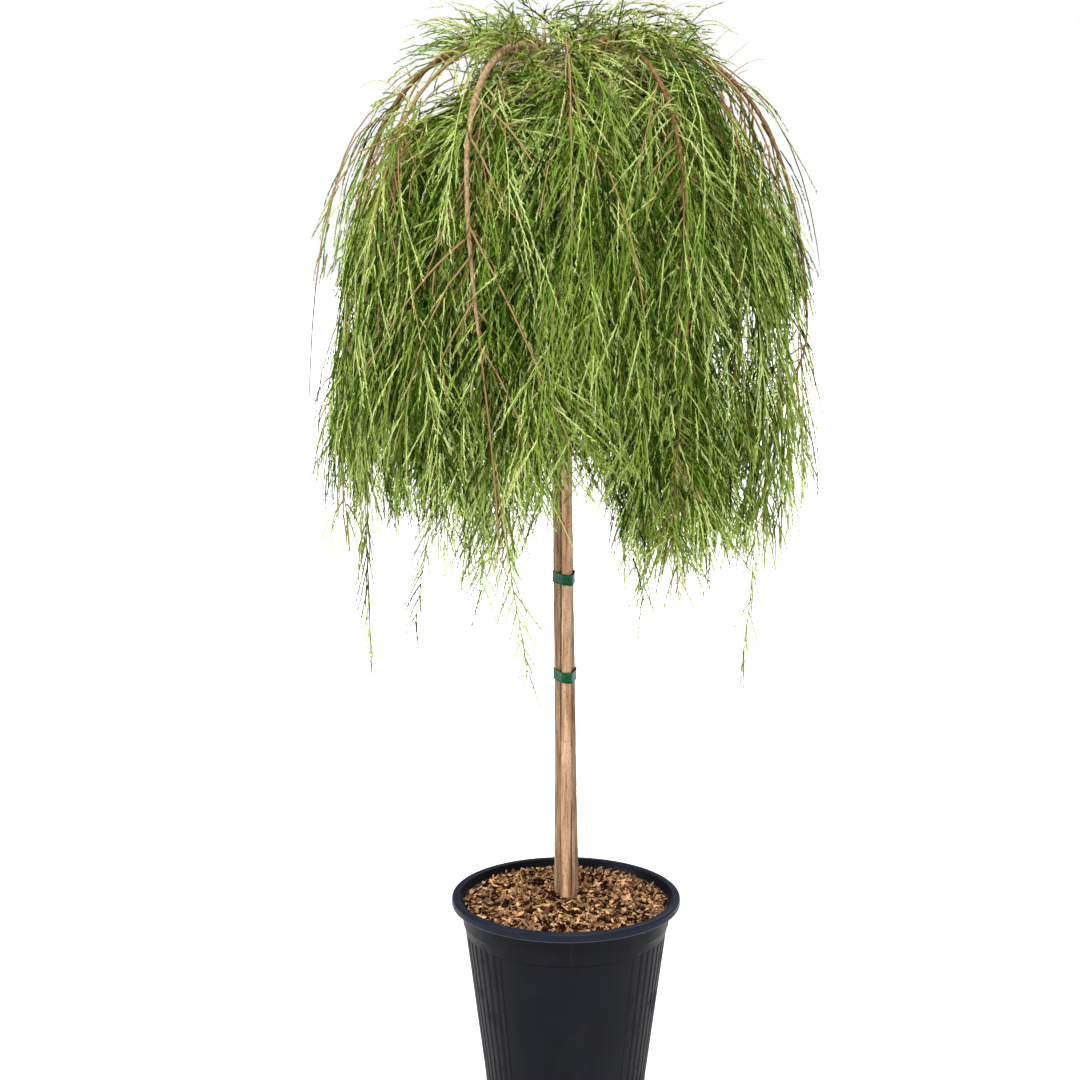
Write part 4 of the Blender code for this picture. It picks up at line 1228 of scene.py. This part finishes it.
def bough_run(name):
    """A bough with its mass's stem, as evenly spaced points, and the place where the bough ends."""
    if name in LONG_BOUGHS:
        azimuth, swing, radius, reach = LONG_BOUGHS[name]
        form, turns, tip = (reach, 0, DOME_SQUARE), np.linspace(BOUGH_BEND, STEM_TIP, 90)[1:], BOUGH_TIP
        path = arch_path(azimuth, *LONG_EXIT, BOUGH_BEND, form, radius, 24)
    else:
        azimuth, radius, *form = SHORT_BOUGHS[name]
        swing, turns, tip = 0, np.linspace(SHORT_BEND, SHORT_TIP, 60)[1:], SHORT_BEND
        path = arch_path(azimuth, *SHORT_EXIT, SHORT_BEND, form, radius, 24)
    arch = np.array([tuple(point) for point in path])
    rest = dome(turns, swung(azimuth, swing, turns), form)
    drop = np.clip((TUCK_TOP - rest[:, 2]) / TUCK_DEPTH, 0, 1)
    rest[:, :2] *= (1 - TUCKED.get(name, 0) * drop**2 * (3 - 2 * drop))[:, None]
    line = np.concatenate([arch, rest])
    far = np.concatenate([[0], np.cumsum(np.linalg.norm(np.diff(line, axis=0), axis=1))])
    places = np.arange(0, far[-1], RUN_STEP)
    even = np.stack([np.interp(places, far, axis) for axis in line.T], axis=1)
    end = far[len(arch) - 1 + int((turns <= tip).sum())]
    return even, int(end / RUN_STEP)


def grown(roots, headings, lengths, weights, steps, wander=0.0, dice=None):
    """Paths that set out along their headings and bend down under their weight."""
    part = (np.arange(steps - 1) / (steps - 1))[None, :, None]
    weight = weights[:, None, None] * part**0.8
    turn = unit(unit(headings)[:, None] * (1 - weight) + np.array([0, 0, -1.0]) * weight)
    if wander:
        turn = unit(turn + np.cumsum(dice.normal(0, wander, turn.shape), axis=1))
    moves = turn * (lengths / (steps - 1))[:, None, None]
    return np.concatenate([roots[:, None], roots[:, None] + np.cumsum(moves, axis=1)], axis=1)


def frame_at(points, along):
    """Level and outward directions across paths, away from the middle of the crown."""
    level = unit(np.stack([-points[:, 1], points[:, 0], points[:, 0] * 0], axis=1) + 1e-6)
    level = unit(level - along * (level * along).sum(1, keepdims=True))
    outward = np.cross(level, along)
    return level, outward * np.sign((outward * (points - CROWN_HEART)).sum(1, keepdims=True))


def hem_at(points):
    """Height of the crown's lower edge, ragged by locks, which parts before and behind the trunk."""
    across = (points[..., 0] - PARTING_CENTRE) / PARTING_HALF
    front = points[..., 1] < 0
    facing = np.arctan2(points[..., 1], points[..., 0])
    locks = sum(depth * np.sin(facing * many + start) for depth, many, start in HEM_LOCKS)
    level = np.interp(points[..., 0], *np.array(HEM_LINE).T) - HEM_SLOPE * points[..., 1]
    return level + locks + np.where(front, *PARTING_RISE) * np.exp(-(across**4))


def grow_twigs(run, first, last, spacing, lengths, angles, dice, below=0.05):
    """Twigs all round a run, as paths with their lengths, that lean off it and hang over."""
    places = np.arange(first, last, spacing / RUN_STEP)
    places = places + dice.uniform(-1, 1, len(places))
    index = np.clip(places.astype(int), 0, len(run) - 2)
    roots, along = run[index], unit(run[index + 1] - run[index])
    many = len(roots)
    level, outward = frame_at(roots, along)
    deal = dice.random(many)
    roll = dice.normal(0, TWIG_SPREAD, many)
    under, over = TWIG_ROLLS
    roll = np.where(deal < under, -90 + roll * 1.5, np.where(deal > over, 90 + roll, roll))
    roll = np.radians(np.where(np.arange(many) % 2, roll, 180 - roll))
    angle = np.radians(dice.uniform(*angles, many))
    aside = level * np.cos(roll)[:, None] + outward * np.sin(roll)[:, None]
    headings = along * np.cos(angle)[:, None] + aside * np.sin(angle)[:, None]
    reach = dice.uniform(*lengths, many)
    room = (roots[:, 2] - hem_at(roots) + below) * dice.uniform(0.75, 1.1, many)
    reach = np.clip(np.minimum(reach, room), 0.05, 1)
    paths = grown(roots, headings, reach, dice.uniform(*TWIG_WEIGHT, many), TWIG_STEPS, TWIG_WANDER, dice)
    return keep_within(paths, dice), reach


def dealt_along(paths, lengths, spans, spacing, dice):
    """Even places down each path: their owner, order, share of the path, point and direction."""
    first, last = spans.T
    counts = np.maximum((lengths * (last - first) / spacing).astype(int), 0)
    owner = np.repeat(np.arange(len(paths)), counts)
    order = np.arange(len(owner)) - np.repeat(np.cumsum(counts) - counts, counts)
    share = (order + dice.uniform(0.15, 0.85, len(owner))) / counts[owner]
    part = first[owner] + share * (last - first)[owner]
    spot = part * (paths.shape[1] - 1)
    index = np.minimum(spot.astype(int), paths.shape[1] - 2)
    here, after = paths[owner, index], paths[owner, index + 1]
    return owner, order, part, here + (after - here) * (spot - index)[:, None], unit(after - here)


def grow_strands(
    paths, lengths, spans, spacing, tones, dice, lean=(16, 34), size=1.0, below=0.0, free=None
):
    """Strands that leave their twigs to either side in turn and bend over under their weight."""
    owner, order, part, roots, along = dealt_along(paths, lengths, spans, spacing, dice)
    many = len(owner)
    level, outward = frame_at(roots, along)
    roll = np.radians(dice.normal(*STRAND_ROLL, many))
    roll = np.where((order + owner) % 2, roll, math.pi - roll)
    aside = level * np.cos(roll)[:, None] + outward * np.sin(roll)[:, None]
    angle = np.radians(dice.uniform(*lean, many))
    headings = along * np.cos(angle)[:, None] + aside * np.sin(angle)[:, None]
    reach = size * STRAND_LENGTH * dice.uniform(*STRAND_SHARE, many) * (1 - STRAND_FADE * part**2)
    weights = dice.uniform(*STRAND_WEIGHT, many)
    paths = grown(roots, headings, reach, weights, STRAND_STEPS, STRAND_WANDER, dice)
    paths = keep_within(paths, dice, DENSE_STRANDS)
    strands = {
        "dice": dice,
        "paths": paths,
        "length": reach,
        "fan": dice.normal(0, 0.6, many),
        "vigour": dice.uniform(*VIGOUR, many),
        "needled": np.stack([dice.uniform(*ends, many) for ends in (NEEDLED_FROM, NEEDLED_TO)], axis=1),
        "tone": np.where(dice.random(many) < TWIG_SHARE, tones[owner], deal_tones(paths, dice)),
    }
    trail = dice.exponential(HEM_SLACK[1], len(lengths))[owner] * dice.uniform(0.3, 1, many)
    inside = within_outline(paths, dice) | (dice.random(many) < WHISKERS[1])
    if free is not None:
        inside |= free[owner]
    above = paths[:, -1, 2] > hem_at(paths[:, -1]) - (below + HEM_SLACK[0] + trail)
    return pick(strands, inside & above & left_open(paths, dice))


def keep_within(paths, dice, dense=DENSE_SHARE):
    """Draws each path in to its own share of the crown's reach, so that the edge stays loose."""
    radius = np.hypot(paths[..., 0], paths[..., 1])
    sideways = (paths[..., 0] / np.maximum(radius, 1e-6)) ** 2
    side = np.where(paths[..., 0] < 0, -SIDE_LIMITS[0], SIDE_LIMITS[1])
    out = radius / (FRONT_LIMIT + (side - FRONT_LIMIT) * sideways)
    high = np.maximum(paths[..., 2] - DOME_FOOT, 0) / LIMIT_RISE
    reach = (out**LIMIT_ROUND + high**LIMIT_ROUND) ** (1 / LIMIT_ROUND)
    allowed = (dense + (1 - dense) * dice.random(len(paths)) ** LOOSE_POWER)[:, None]
    eased = LIMIT_SOFT * np.tanh(np.maximum(reach - allowed + LIMIT_SOFT, 0) / LIMIT_SOFT)
    drawn = (np.minimum(reach, allowed - LIMIT_SOFT) + eased) / np.maximum(reach, 1e-6)
    paths[..., :2] *= drawn[..., None]
    height = np.where(high > 0, DOME_FOOT + (paths[..., 2] - DOME_FOOT) * drawn, paths[..., 2])
    paths[..., 2] = height - TOP_SOFT * np.log1p(np.exp((height - TOP_LIMIT) / TOP_SOFT))
    return paths


def within_outline(paths, dice):
    """Which paths end inside the dense outline, each by its own reckoning of it."""
    tip = paths[:, -1]
    heights, *sides = np.array(OUTLINE).T
    radius = np.hypot(tip[:, 0], tip[:, 1])
    left, right = (np.interp(tip[:, 2], heights, side) for side in sides)
    side = np.where(tip[:, 0] < 0, left, right)
    evenly = np.interp(tip[:, 2], *np.array(EVEN_OUTLINE).T)
    edge = blend(evenly, side, (tip[:, 0] / np.maximum(radius, 1e-6)) ** 2)
    return radius < edge * dice.uniform(*OUTLINE_SPREAD, len(paths))


def left_open(paths, dice):
    """Which paths stay, once the crown's gaps are opened from front to back."""
    stay = np.ones(len(paths), bool)
    eye = np.array(CAMERA_PLACE)
    depth = (paths[..., 1] - eye[1]) / -eye[1]
    for x, z, half_width, half_height, kept_out in SKY_GAPS:
        across = (paths[..., 0] - eye[0]) / depth + eye[0] - x
        up = (paths[..., 2] - eye[2]) / depth + eye[2] - z
        inside = ((across / half_width) ** 2 + (up / half_height) ** 2 < 1).any(axis=1)
        stay &= ~(inside & (dice.random(len(paths)) < kept_out))
    return stay


def bares_bough(paths, bough, dice):
    """Which strands stay, once those that would cover the thick front bough are left out."""
    away = paths[:, :, None] - bough[None, None, ::3]
    near = (np.hypot(away[..., 0], away[..., 2]) < BARE_WIDTH) & (away[..., 1] < BARE_DEPTH)
    return ~(near.any(axis=(1, 2)) & (dice.random(len(paths)) < BARE_SHARE))


def tube_arrays(paths, radii):
    """Points and triangles of many slim three-sided tubes, which end in a point."""
    many, steps = paths.shape[:2]
    along = unit(np.gradient(paths, axis=1))
    middle = unit(paths[:, -1] - paths[:, 0])
    sidelong = np.where(np.abs(middle[:, 2:]) > 0.7, [[1.0, 0.3, 0]], [[0, 0, 1.0]])
    across = unit(np.cross(middle, sidelong))
    across = unit(across[:, None] - along * (across[:, None] * along).sum(-1, keepdims=True))
    beside = np.cross(along, across)
    angles = np.arange(3) * math.tau / 3
    ring = across[:, :, None] * np.cos(angles)[:, None] + beside[:, :, None] * np.sin(angles)[:, None]
    rings = (paths[:, :, None] + ring * radii[:, :, None, None])[:, :-1].reshape(many, 3 * steps - 3, 3)
    points = np.concatenate([rings, paths[:, -1:]], axis=1)
    low = (np.arange(steps - 2) * 3)[:, None] + np.arange(3)
    after = (np.arange(steps - 2) * 3)[:, None] + (np.arange(3) + 1) % 3
    sides = np.stack([np.stack([low, after, after + 3], -1), np.stack([low, after + 3, low + 3], -1)], 2)
    last, tip = (steps - 2) * 3, (steps - 1) * 3
    point_end = [[last, last + 1, tip], [last + 1, last + 2, tip], [last + 2, last, tip]]
    faces = np.concatenate([sides.reshape(-1, 3), point_end, [[0, 2, 1]]])
    level = np.concatenate([np.repeat(np.arange(steps - 2), 6), [steps - 2] * 3, [0]])
    faces = faces[None] + (np.arange(many) * (tip + 1))[:, None, None]
    return points.reshape(-1, 3), faces.reshape(-1, 3), np.tile(level, (many, 1))


def needle_arrays(strands, settings):
    """Points and triangles of the folded needles that leave each strand to either side in turn."""
    dice, spacing = strands["dice"], settings.needle_spacing
    found = dealt_along(strands["paths"], strands["length"], strands["needled"], spacing, dice)
    strand, order, part, root, along = found
    many = len(strand)
    level, outward = frame_at(root, along)
    roll = strands["fan"][strand] + dice.normal(0, 0.5, many)
    side = np.where(order % 2, 1, -1)[:, None] * level * np.cos(roll)[:, None]
    side = side + outward * np.sin(roll)[:, None]
    lean = np.radians(dice.uniform(*NEEDLE_LEAN, many))[:, None]
    heading = unit(along * np.cos(lean) + side * np.sin(lean) + [0, 0, -0.08])
    reach = settings.needle_length * dice.uniform(*NEEDLE_SHARE, many) * (1 - NEEDLE_FADE * part)
    reach = reach * strands["vigour"][strand]
    turn = dice.uniform(0, math.pi, many)[:, None]
    edge = unit(np.cross(heading, along) + 1e-6)
    edge = edge * np.cos(turn) + np.cross(heading, edge) * np.sin(turn)
    ridge = np.cross(heading, edge)
    half = settings.needle_width / 2
    foot = root - heading * 0.0008
    tip = root + heading * reach[:, None]
    corners = [foot - edge * half, foot + ridge * half * NEEDLE_FOLD, foot + edge * half, tip]
    faces = np.array([[0, 1, 3], [1, 2, 3]])[None] + (np.arange(many) * 4)[:, None, None]
    tones = np.repeat(strands["tone"][strand], 2)
    return np.stack(corners, axis=1).reshape(-1, 3), faces.reshape(-1, 3), tones


def deal_tones(paths, dice):
    """A tone for each path's spray: darker tones, a painted shade, the further it lies inside the crown,
    and lighter ones, a painted light, near the hem.
    """
    middle = paths[:, paths.shape[1] // 2]
    out = np.hypot(middle[:, 0], middle[:, 1]) / DOME_RADIUS
    high = (middle[:, 2] - DOME_FOOT) / DOME_RISE
    both = (out**SHELL_ROUND + np.maximum(high, 0) ** SHELL_ROUND) ** (1 / SHELL_ROUND)
    depth = 1 - np.maximum(out, np.where(high > 0, both, 0))
    above = np.clip((middle[:, 2] - hem_at(middle) - HEM_BAND[0]) / HEM_BAND[1], 0, 1)
    depth = (np.clip(depth / SHELL_DEPTH, 0, 1) * above)[:, None]
    # Painted light: near the hem the strands take lighter tones.
    outer = blend(np.array(LIT_HEM_TONES), np.array(OUTER_TONES), above[:, None])
    # Painted shade: the deeper a spray lies, the more it takes the dark inner tones.
    shares = np.cumsum(blend(outer, np.array(SHADED_INNER_TONES), depth), axis=1)
    return np.minimum((dice.random(len(paths))[:, None] > shares).sum(axis=1), len(OUTER_TONES) - 1)


def pick(strands, stay):
    """The strands that stay."""
    return {key: value if key == "dice" else value[stay] for key, value in strands.items()}


class Spray:
    """Gathers the tubes and needles of one mass of foliage, and makes its two pieces."""

    def __init__(self, name, settings, finishes, bough):
        self.name, self.settings, self.finishes, self.bough = name, settings, finishes, bough
        self.tubes, self.needles = [], []

    def add_twigs(self, paths, first, last, tones=None, brown=None, wood=TWIG_TONE):
        """Twigs that taper from first to last, brown down to a share of their length and then green."""
        radii = np.linspace(first, last, paths.shape[1])[None] * np.ones((len(paths), 1))
        points, faces, level = tube_arrays(paths, radii)
        if tones is None:
            shades = np.full(level.shape, wood)
        else:
            shades = np.where(level < brown[:, None] * paths.shape[1], wood, tones[:, None])
        self.tubes.append((points, faces, shades.ravel()))

    def add_strands(self, strands):
        """Strands with their needles."""
        if self.name in BARED_BY:
            strands = pick(strands, bares_bough(strands["paths"], self.bough, strands["dice"]))
        part = np.linspace(1, STRAND_TAPER, STRAND_STEPS)[None]
        radii = self.settings.strand_radius * part * strands["vigour"][:, None]
        points, faces, level = tube_arrays(strands["paths"], radii)
        tones = np.broadcast_to(strands["tone"][:, None], level.shape)
        self.tubes.append((points, faces, tones.ravel()))
        self.needles.append(needle_arrays(strands, self.settings))

    def add_sprays(
        self, paths, lengths, dice, thick=0.0015, size=1.0, start=0.10, below=0.0, wood=(TWIG_TONE, 0.6)
    ):
        """Twigs with the strands down them and one on from each tip."""
        free = dice.random(len(paths)) < WHISKERS[0]
        stay = (within_outline(paths, dice) | free) & left_open(paths, dice)
        if self.name in BARED_BY:
            stay &= bares_bough(paths, self.bough, dice)
        paths, lengths, free = paths[stay], lengths[stay], free[stay]
        tones = deal_tones(paths, dice)
        self.add_twigs(paths, thick, 0.0006, tones, dice.uniform(0, wood[1], len(paths)), wood[0])
        spans = np.tile([start, 0.99], (len(paths), 1))
        spacing = STRAND_SPACING
        more = {"below": below, "free": free}
        self.add_strands(grow_strands(paths, lengths, spans, spacing, tones, dice, size=size, **more))
        tips = np.tile([0.97, 0.99], (len(paths), 1))
        one = np.full(len(paths), spacing * 51)  # long enough that the tip's span holds one strand
        self.add_strands(grow_strands(paths, one, tips, spacing, tones, dice, (0, 10), **more))

    def make(self, *nodes):
        """The mass's two pieces, which stand for its nodes."""
        for kind, batches in (("sprigs", self.tubes), ("needles", self.needles)):
            start, points, faces, tones = 0, [], [], []
            for batch_points, batch_faces, batch_tones in batches:
                points.append(batch_points)
                faces.append(batch_faces + start)
                tones.append(batch_tones)
                start += len(batch_points)
            arrays = np.concatenate(points), np.concatenate(faces), np.concatenate(tones)
            piece = array_mesh(f"{kind}_{self.name}", *arrays, self.finishes, smooth=kind == "sprigs")
            settle(piece, "foliage", *nodes)


def grow_shoots(spray, many, turns, lengths, seed):
    """Young shoots that stand up from the top of the crown."""
    dice = np.random.default_rng(seed)
    azimuth, turn = dice.uniform(0, 360, many), dice.uniform(*turns, many)
    roots = dome(turn, azimuth, (1, -0.012, DOME_SQUARE)) + dice.normal(0, 0.004, (many, 3))
    facing = np.radians(azimuth + dice.normal(0, 35, many))
    out = blend(0.2, 0.95, turn / turns[1])
    headings = np.stack([np.cos(facing) * out, np.sin(facing) * out, np.ones(many)], axis=1)
    reach = dice.uniform(*lengths, many)
    paths = grown(roots, headings, reach, dice.uniform(*SHOOT_WEIGHT, many), TWIG_STEPS, 0.03, dice)
    paths = keep_within(paths, dice)
    stay = left_open(paths, dice)
    paths, reach = paths[stay], reach[stay]
    tones = dice.choice(2, len(paths), p=(0.55, 0.45))
    spray.add_twigs(paths, 0.0011, 0.0003, tones, dice.uniform(0, 0.7, len(paths)), PALE_TWIG_TONE)
    spans = np.tile([0.15, 0.95], (len(paths), 1))
    spacing, lean, size = SHOOT_STRANDS
    spray.add_strands(grow_strands(paths, reach, spans, spacing, tones, dice, lean, size))


class SHEOAK_OT_crown(bpy.types.Operator):
    """Grows the stems, twigs, strands and needles of every mass of foliage"""

    bl_idname = "sheoak.crown"
    bl_label = "Crown"

    def execute(self, context):
        settings = context.scene.sheoak_foliage
        finishes = foliage_finishes(settings)
        bough = bough_run("front_left")[0]
        for index, name in enumerate([*LONG_BOUGHS, *SHORT_BOUGHS]):
            spray = Spray(name, settings, finishes, bough)
            self.grow(spray, name, np.random.default_rng(100 + index))
            node = f"foliage_curtain_{name}" if name in LONG_BOUGHS else f"foliage_shoulder_{name}"
            spray.make(node)
        tuft = Spray("tuft", settings, finishes, bough)
        for shoots in TUFTS:
            grow_shoots(tuft, *shoots)
        tuft.make("foliage_tuft")
        return {"FINISHED"}

    def grow(self, spray, name, dice):
        """One mass: its stem on from the bough's tip, twigs all along, trailing ones and the head's."""
        run, end = bough_run(name)
        long = name in LONG_BOUGHS
        radius = LONG_BOUGHS[name][2] * LONG_TAPER if long else SHORT_BOUGHS[name][1] * SHORT_TAPER
        stem = run[np.linspace(end, len(run) - 1, TWIG_STEPS * 2).astype(int)]
        spray.add_twigs(stem[None], radius, 0.0012)
        start = (LONG_START if long else SHORT_START) / RUN_STEP
        twigs = LONG_TWIGS if long else FRONT_TWIGS if name == "front" else SHORT_TWIGS
        spacing = twigs[0] * CROWDED.get(name, 1)
        paths, lengths = grow_twigs(run, start, len(run) - 2, spacing, *twigs[1:], dice)
        spray.add_sprays(paths, lengths, dice)
        if long:
            start = len(run) * TRAILER_START
            paths, lengths = grow_twigs(run, start, len(run) - 2, *TRAILERS, dice, TRAILER_BELOW)
            spray.add_sprays(paths, lengths, dice, 0.0012, 0.7, 0.25, TRAILER_BELOW)
        first, last = HEAD_SPAN
        paths, lengths = grow_twigs(run, first / RUN_STEP, last / RUN_STEP, *HEAD_TWIGS, dice)
        spray.add_sprays(paths, lengths, dice, start=0.35, wood=(PALE_TWIG_TONE, 1.0))
        if name == "front_left":
            self.fork(spray, run, dice)
        else:
            whole, spans = np.array([(len(run) - 1) * RUN_STEP]), np.array([[0.12, 1.0]])
            strands = grow_strands(run[None], whole, spans, 0.0045, np.array([1]), dice, (30, 70))
            spray.add_strands(strands)

    def fork(self, spray, run, dice):
        """The thick front bough's own side boughs, each with its twigs."""
        for place, side, angle, reach, weight in SIDE_BOUGHS:
            index, angle = int(place / RUN_STEP), math.radians(angle)
            root, along = run[index], unit(run[index + 1] - run[index])
            level, outward = frame_at(root[None], along[None])
            heading = along * math.cos(angle) + side * level[0] * math.sin(angle) + outward[0] * 0.12
            steps = int(reach / RUN_STEP)
            bend = np.array([reach]), np.array([weight])
            path = grown(root[None], heading[None], *bend, steps, 0.008, dice)[0]
            spray.add_twigs(path[None], 0.0019, 0.0008)
            paths, lengths = grow_twigs(path, 0.02 / RUN_STEP, steps - 2, *SIDE_TWIGS, dice)
            spray.add_sprays(paths, lengths, dice, 0.0011)


# =====================================================================================================
# Stage, panel and main
# =====================================================================================================
def soft_sun(name, towards, strength):
    """A broad, even light that comes from a direction."""
    data = bpy.data.lights.new(name, "SUN")
    data.energy, data.angle = strength, math.radians(34)
    light = bpy.data.objects.new(name, data)
    bpy.context.scene.collection.objects.link(light)
    light.rotation_euler = Vector(towards).to_track_quat("Z", "Y").to_euler()


class SHEOAK_OT_stage(bpy.types.Operator):
    """A pale floor, soft lights and the camera"""

    bl_idname = "sheoak.stage"
    bl_label = "Stage"

    def execute(self, context):
        settings = context.scene.sheoak_stage
        deselect()
        bpy.ops.mesh.primitive_plane_add(size=24, location=(0, 0, 0))
        floor = name_active("floor")
        material, tree, shader = plain("floor", settings.floor, 0.9)
        shader["Emission Color"].default_value = (1, 1, 1, 1)
        seen = add_node(tree, "LightPath").outputs["Is Camera Ray"]
        tree.links.new(compute(tree, "MULTIPLY", seen, settings.glow), shader["Emission Strength"])
        wear(floor, material)
        context.scene.world = self.white_room(settings.ambient)
        soft_sun("key", KEY_FROM, settings.key)
        soft_sun("fill", FILL_FROM, settings.fill)
        soft_sun("back", BACK_FROM, settings.back)
        data = bpy.data.cameras.new("camera")
        data.lens = CAMERA_LENS
        camera = bpy.data.objects.new("camera", data)
        context.scene.collection.objects.link(camera)
        camera.location = CAMERA_PLACE
        camera.rotation_euler = (math.radians(90 - CAMERA_TILT), 0, 0)
        context.scene.camera = camera
        context.scene.view_settings.view_transform = "Standard"
        return {"FINISHED"}

    def white_room(self, ambient):
        """A world that looks white and lights the scene more dimly."""
        world = bpy.data.worlds.new("studio")
        world.use_nodes = True
        tree = world.node_tree
        seen = tree.nodes["Background"]
        seen.inputs["Color"].default_value = (1, 1, 1, 1)
        dim = add_node(tree, "Background", {0: (1, 1, 1, 1), 1: ambient})
        looked_at = add_node(tree, "LightPath").outputs["Is Camera Ray"]
        links = {0: looked_at, 1: dim.outputs[0], 2: seen.outputs[0]}
        both = add_node(tree, "MixShader", links).outputs[0]
        tree.links.new(both, tree.nodes["World Output"].inputs["Surface"])
        return world


class SHEOAK_PT_sidebar(bpy.types.Panel):
    """Lists the plant's pieces and their settings"""

    bl_idname = "SHEOAK_PT_sidebar"
    bl_label = "Weeping She-oak"
    bl_space_type = "VIEW_3D"
    bl_region_type = "UI"
    bl_category = "She-oak"

    def draw(self, context):
        for operator in OPERATORS:
            self.layout.operator(operator.bl_idname)
        for name, group in SETTINGS.items():
            box = self.layout.box()
            box.label(text=group.__doc__)
            for label in group.__annotations__:
                box.prop(getattr(context.scene, name), label)


OPERATORS = (
    SHEOAK_OT_stage,
    SHEOAK_OT_pot,
    SHEOAK_OT_mulch,
    SHEOAK_OT_stems,
    SHEOAK_OT_ties,
    SHEOAK_OT_boughs,
    SHEOAK_OT_crown,
)


def register():
    for name, group in SETTINGS.items():
        bpy.utils.register_class(group)
        setattr(bpy.types.Scene, name, PointerProperty(type=group))
    for operator in OPERATORS:
        bpy.utils.register_class(operator)
    bpy.utils.register_class(SHEOAK_PT_sidebar)


def unregister():
    bpy.utils.unregister_class(SHEOAK_PT_sidebar)
    for operator in reversed(OPERATORS):
        bpy.utils.unregister_class(operator)
    for name, group in reversed(SETTINGS.items()):
        delattr(bpy.types.Scene, name)
        bpy.utils.unregister_class(group)


def main():
    register()
    bpy.ops.sheoak.stage()
    bpy.ops.sheoak.pot()
    bpy.ops.sheoak.mulch()
    bpy.ops.sheoak.stems()
    bpy.ops.sheoak.ties()
    bpy.ops.sheoak.boughs()
    bpy.ops.sheoak.crown()


if __name__ == "__main__":
    main()
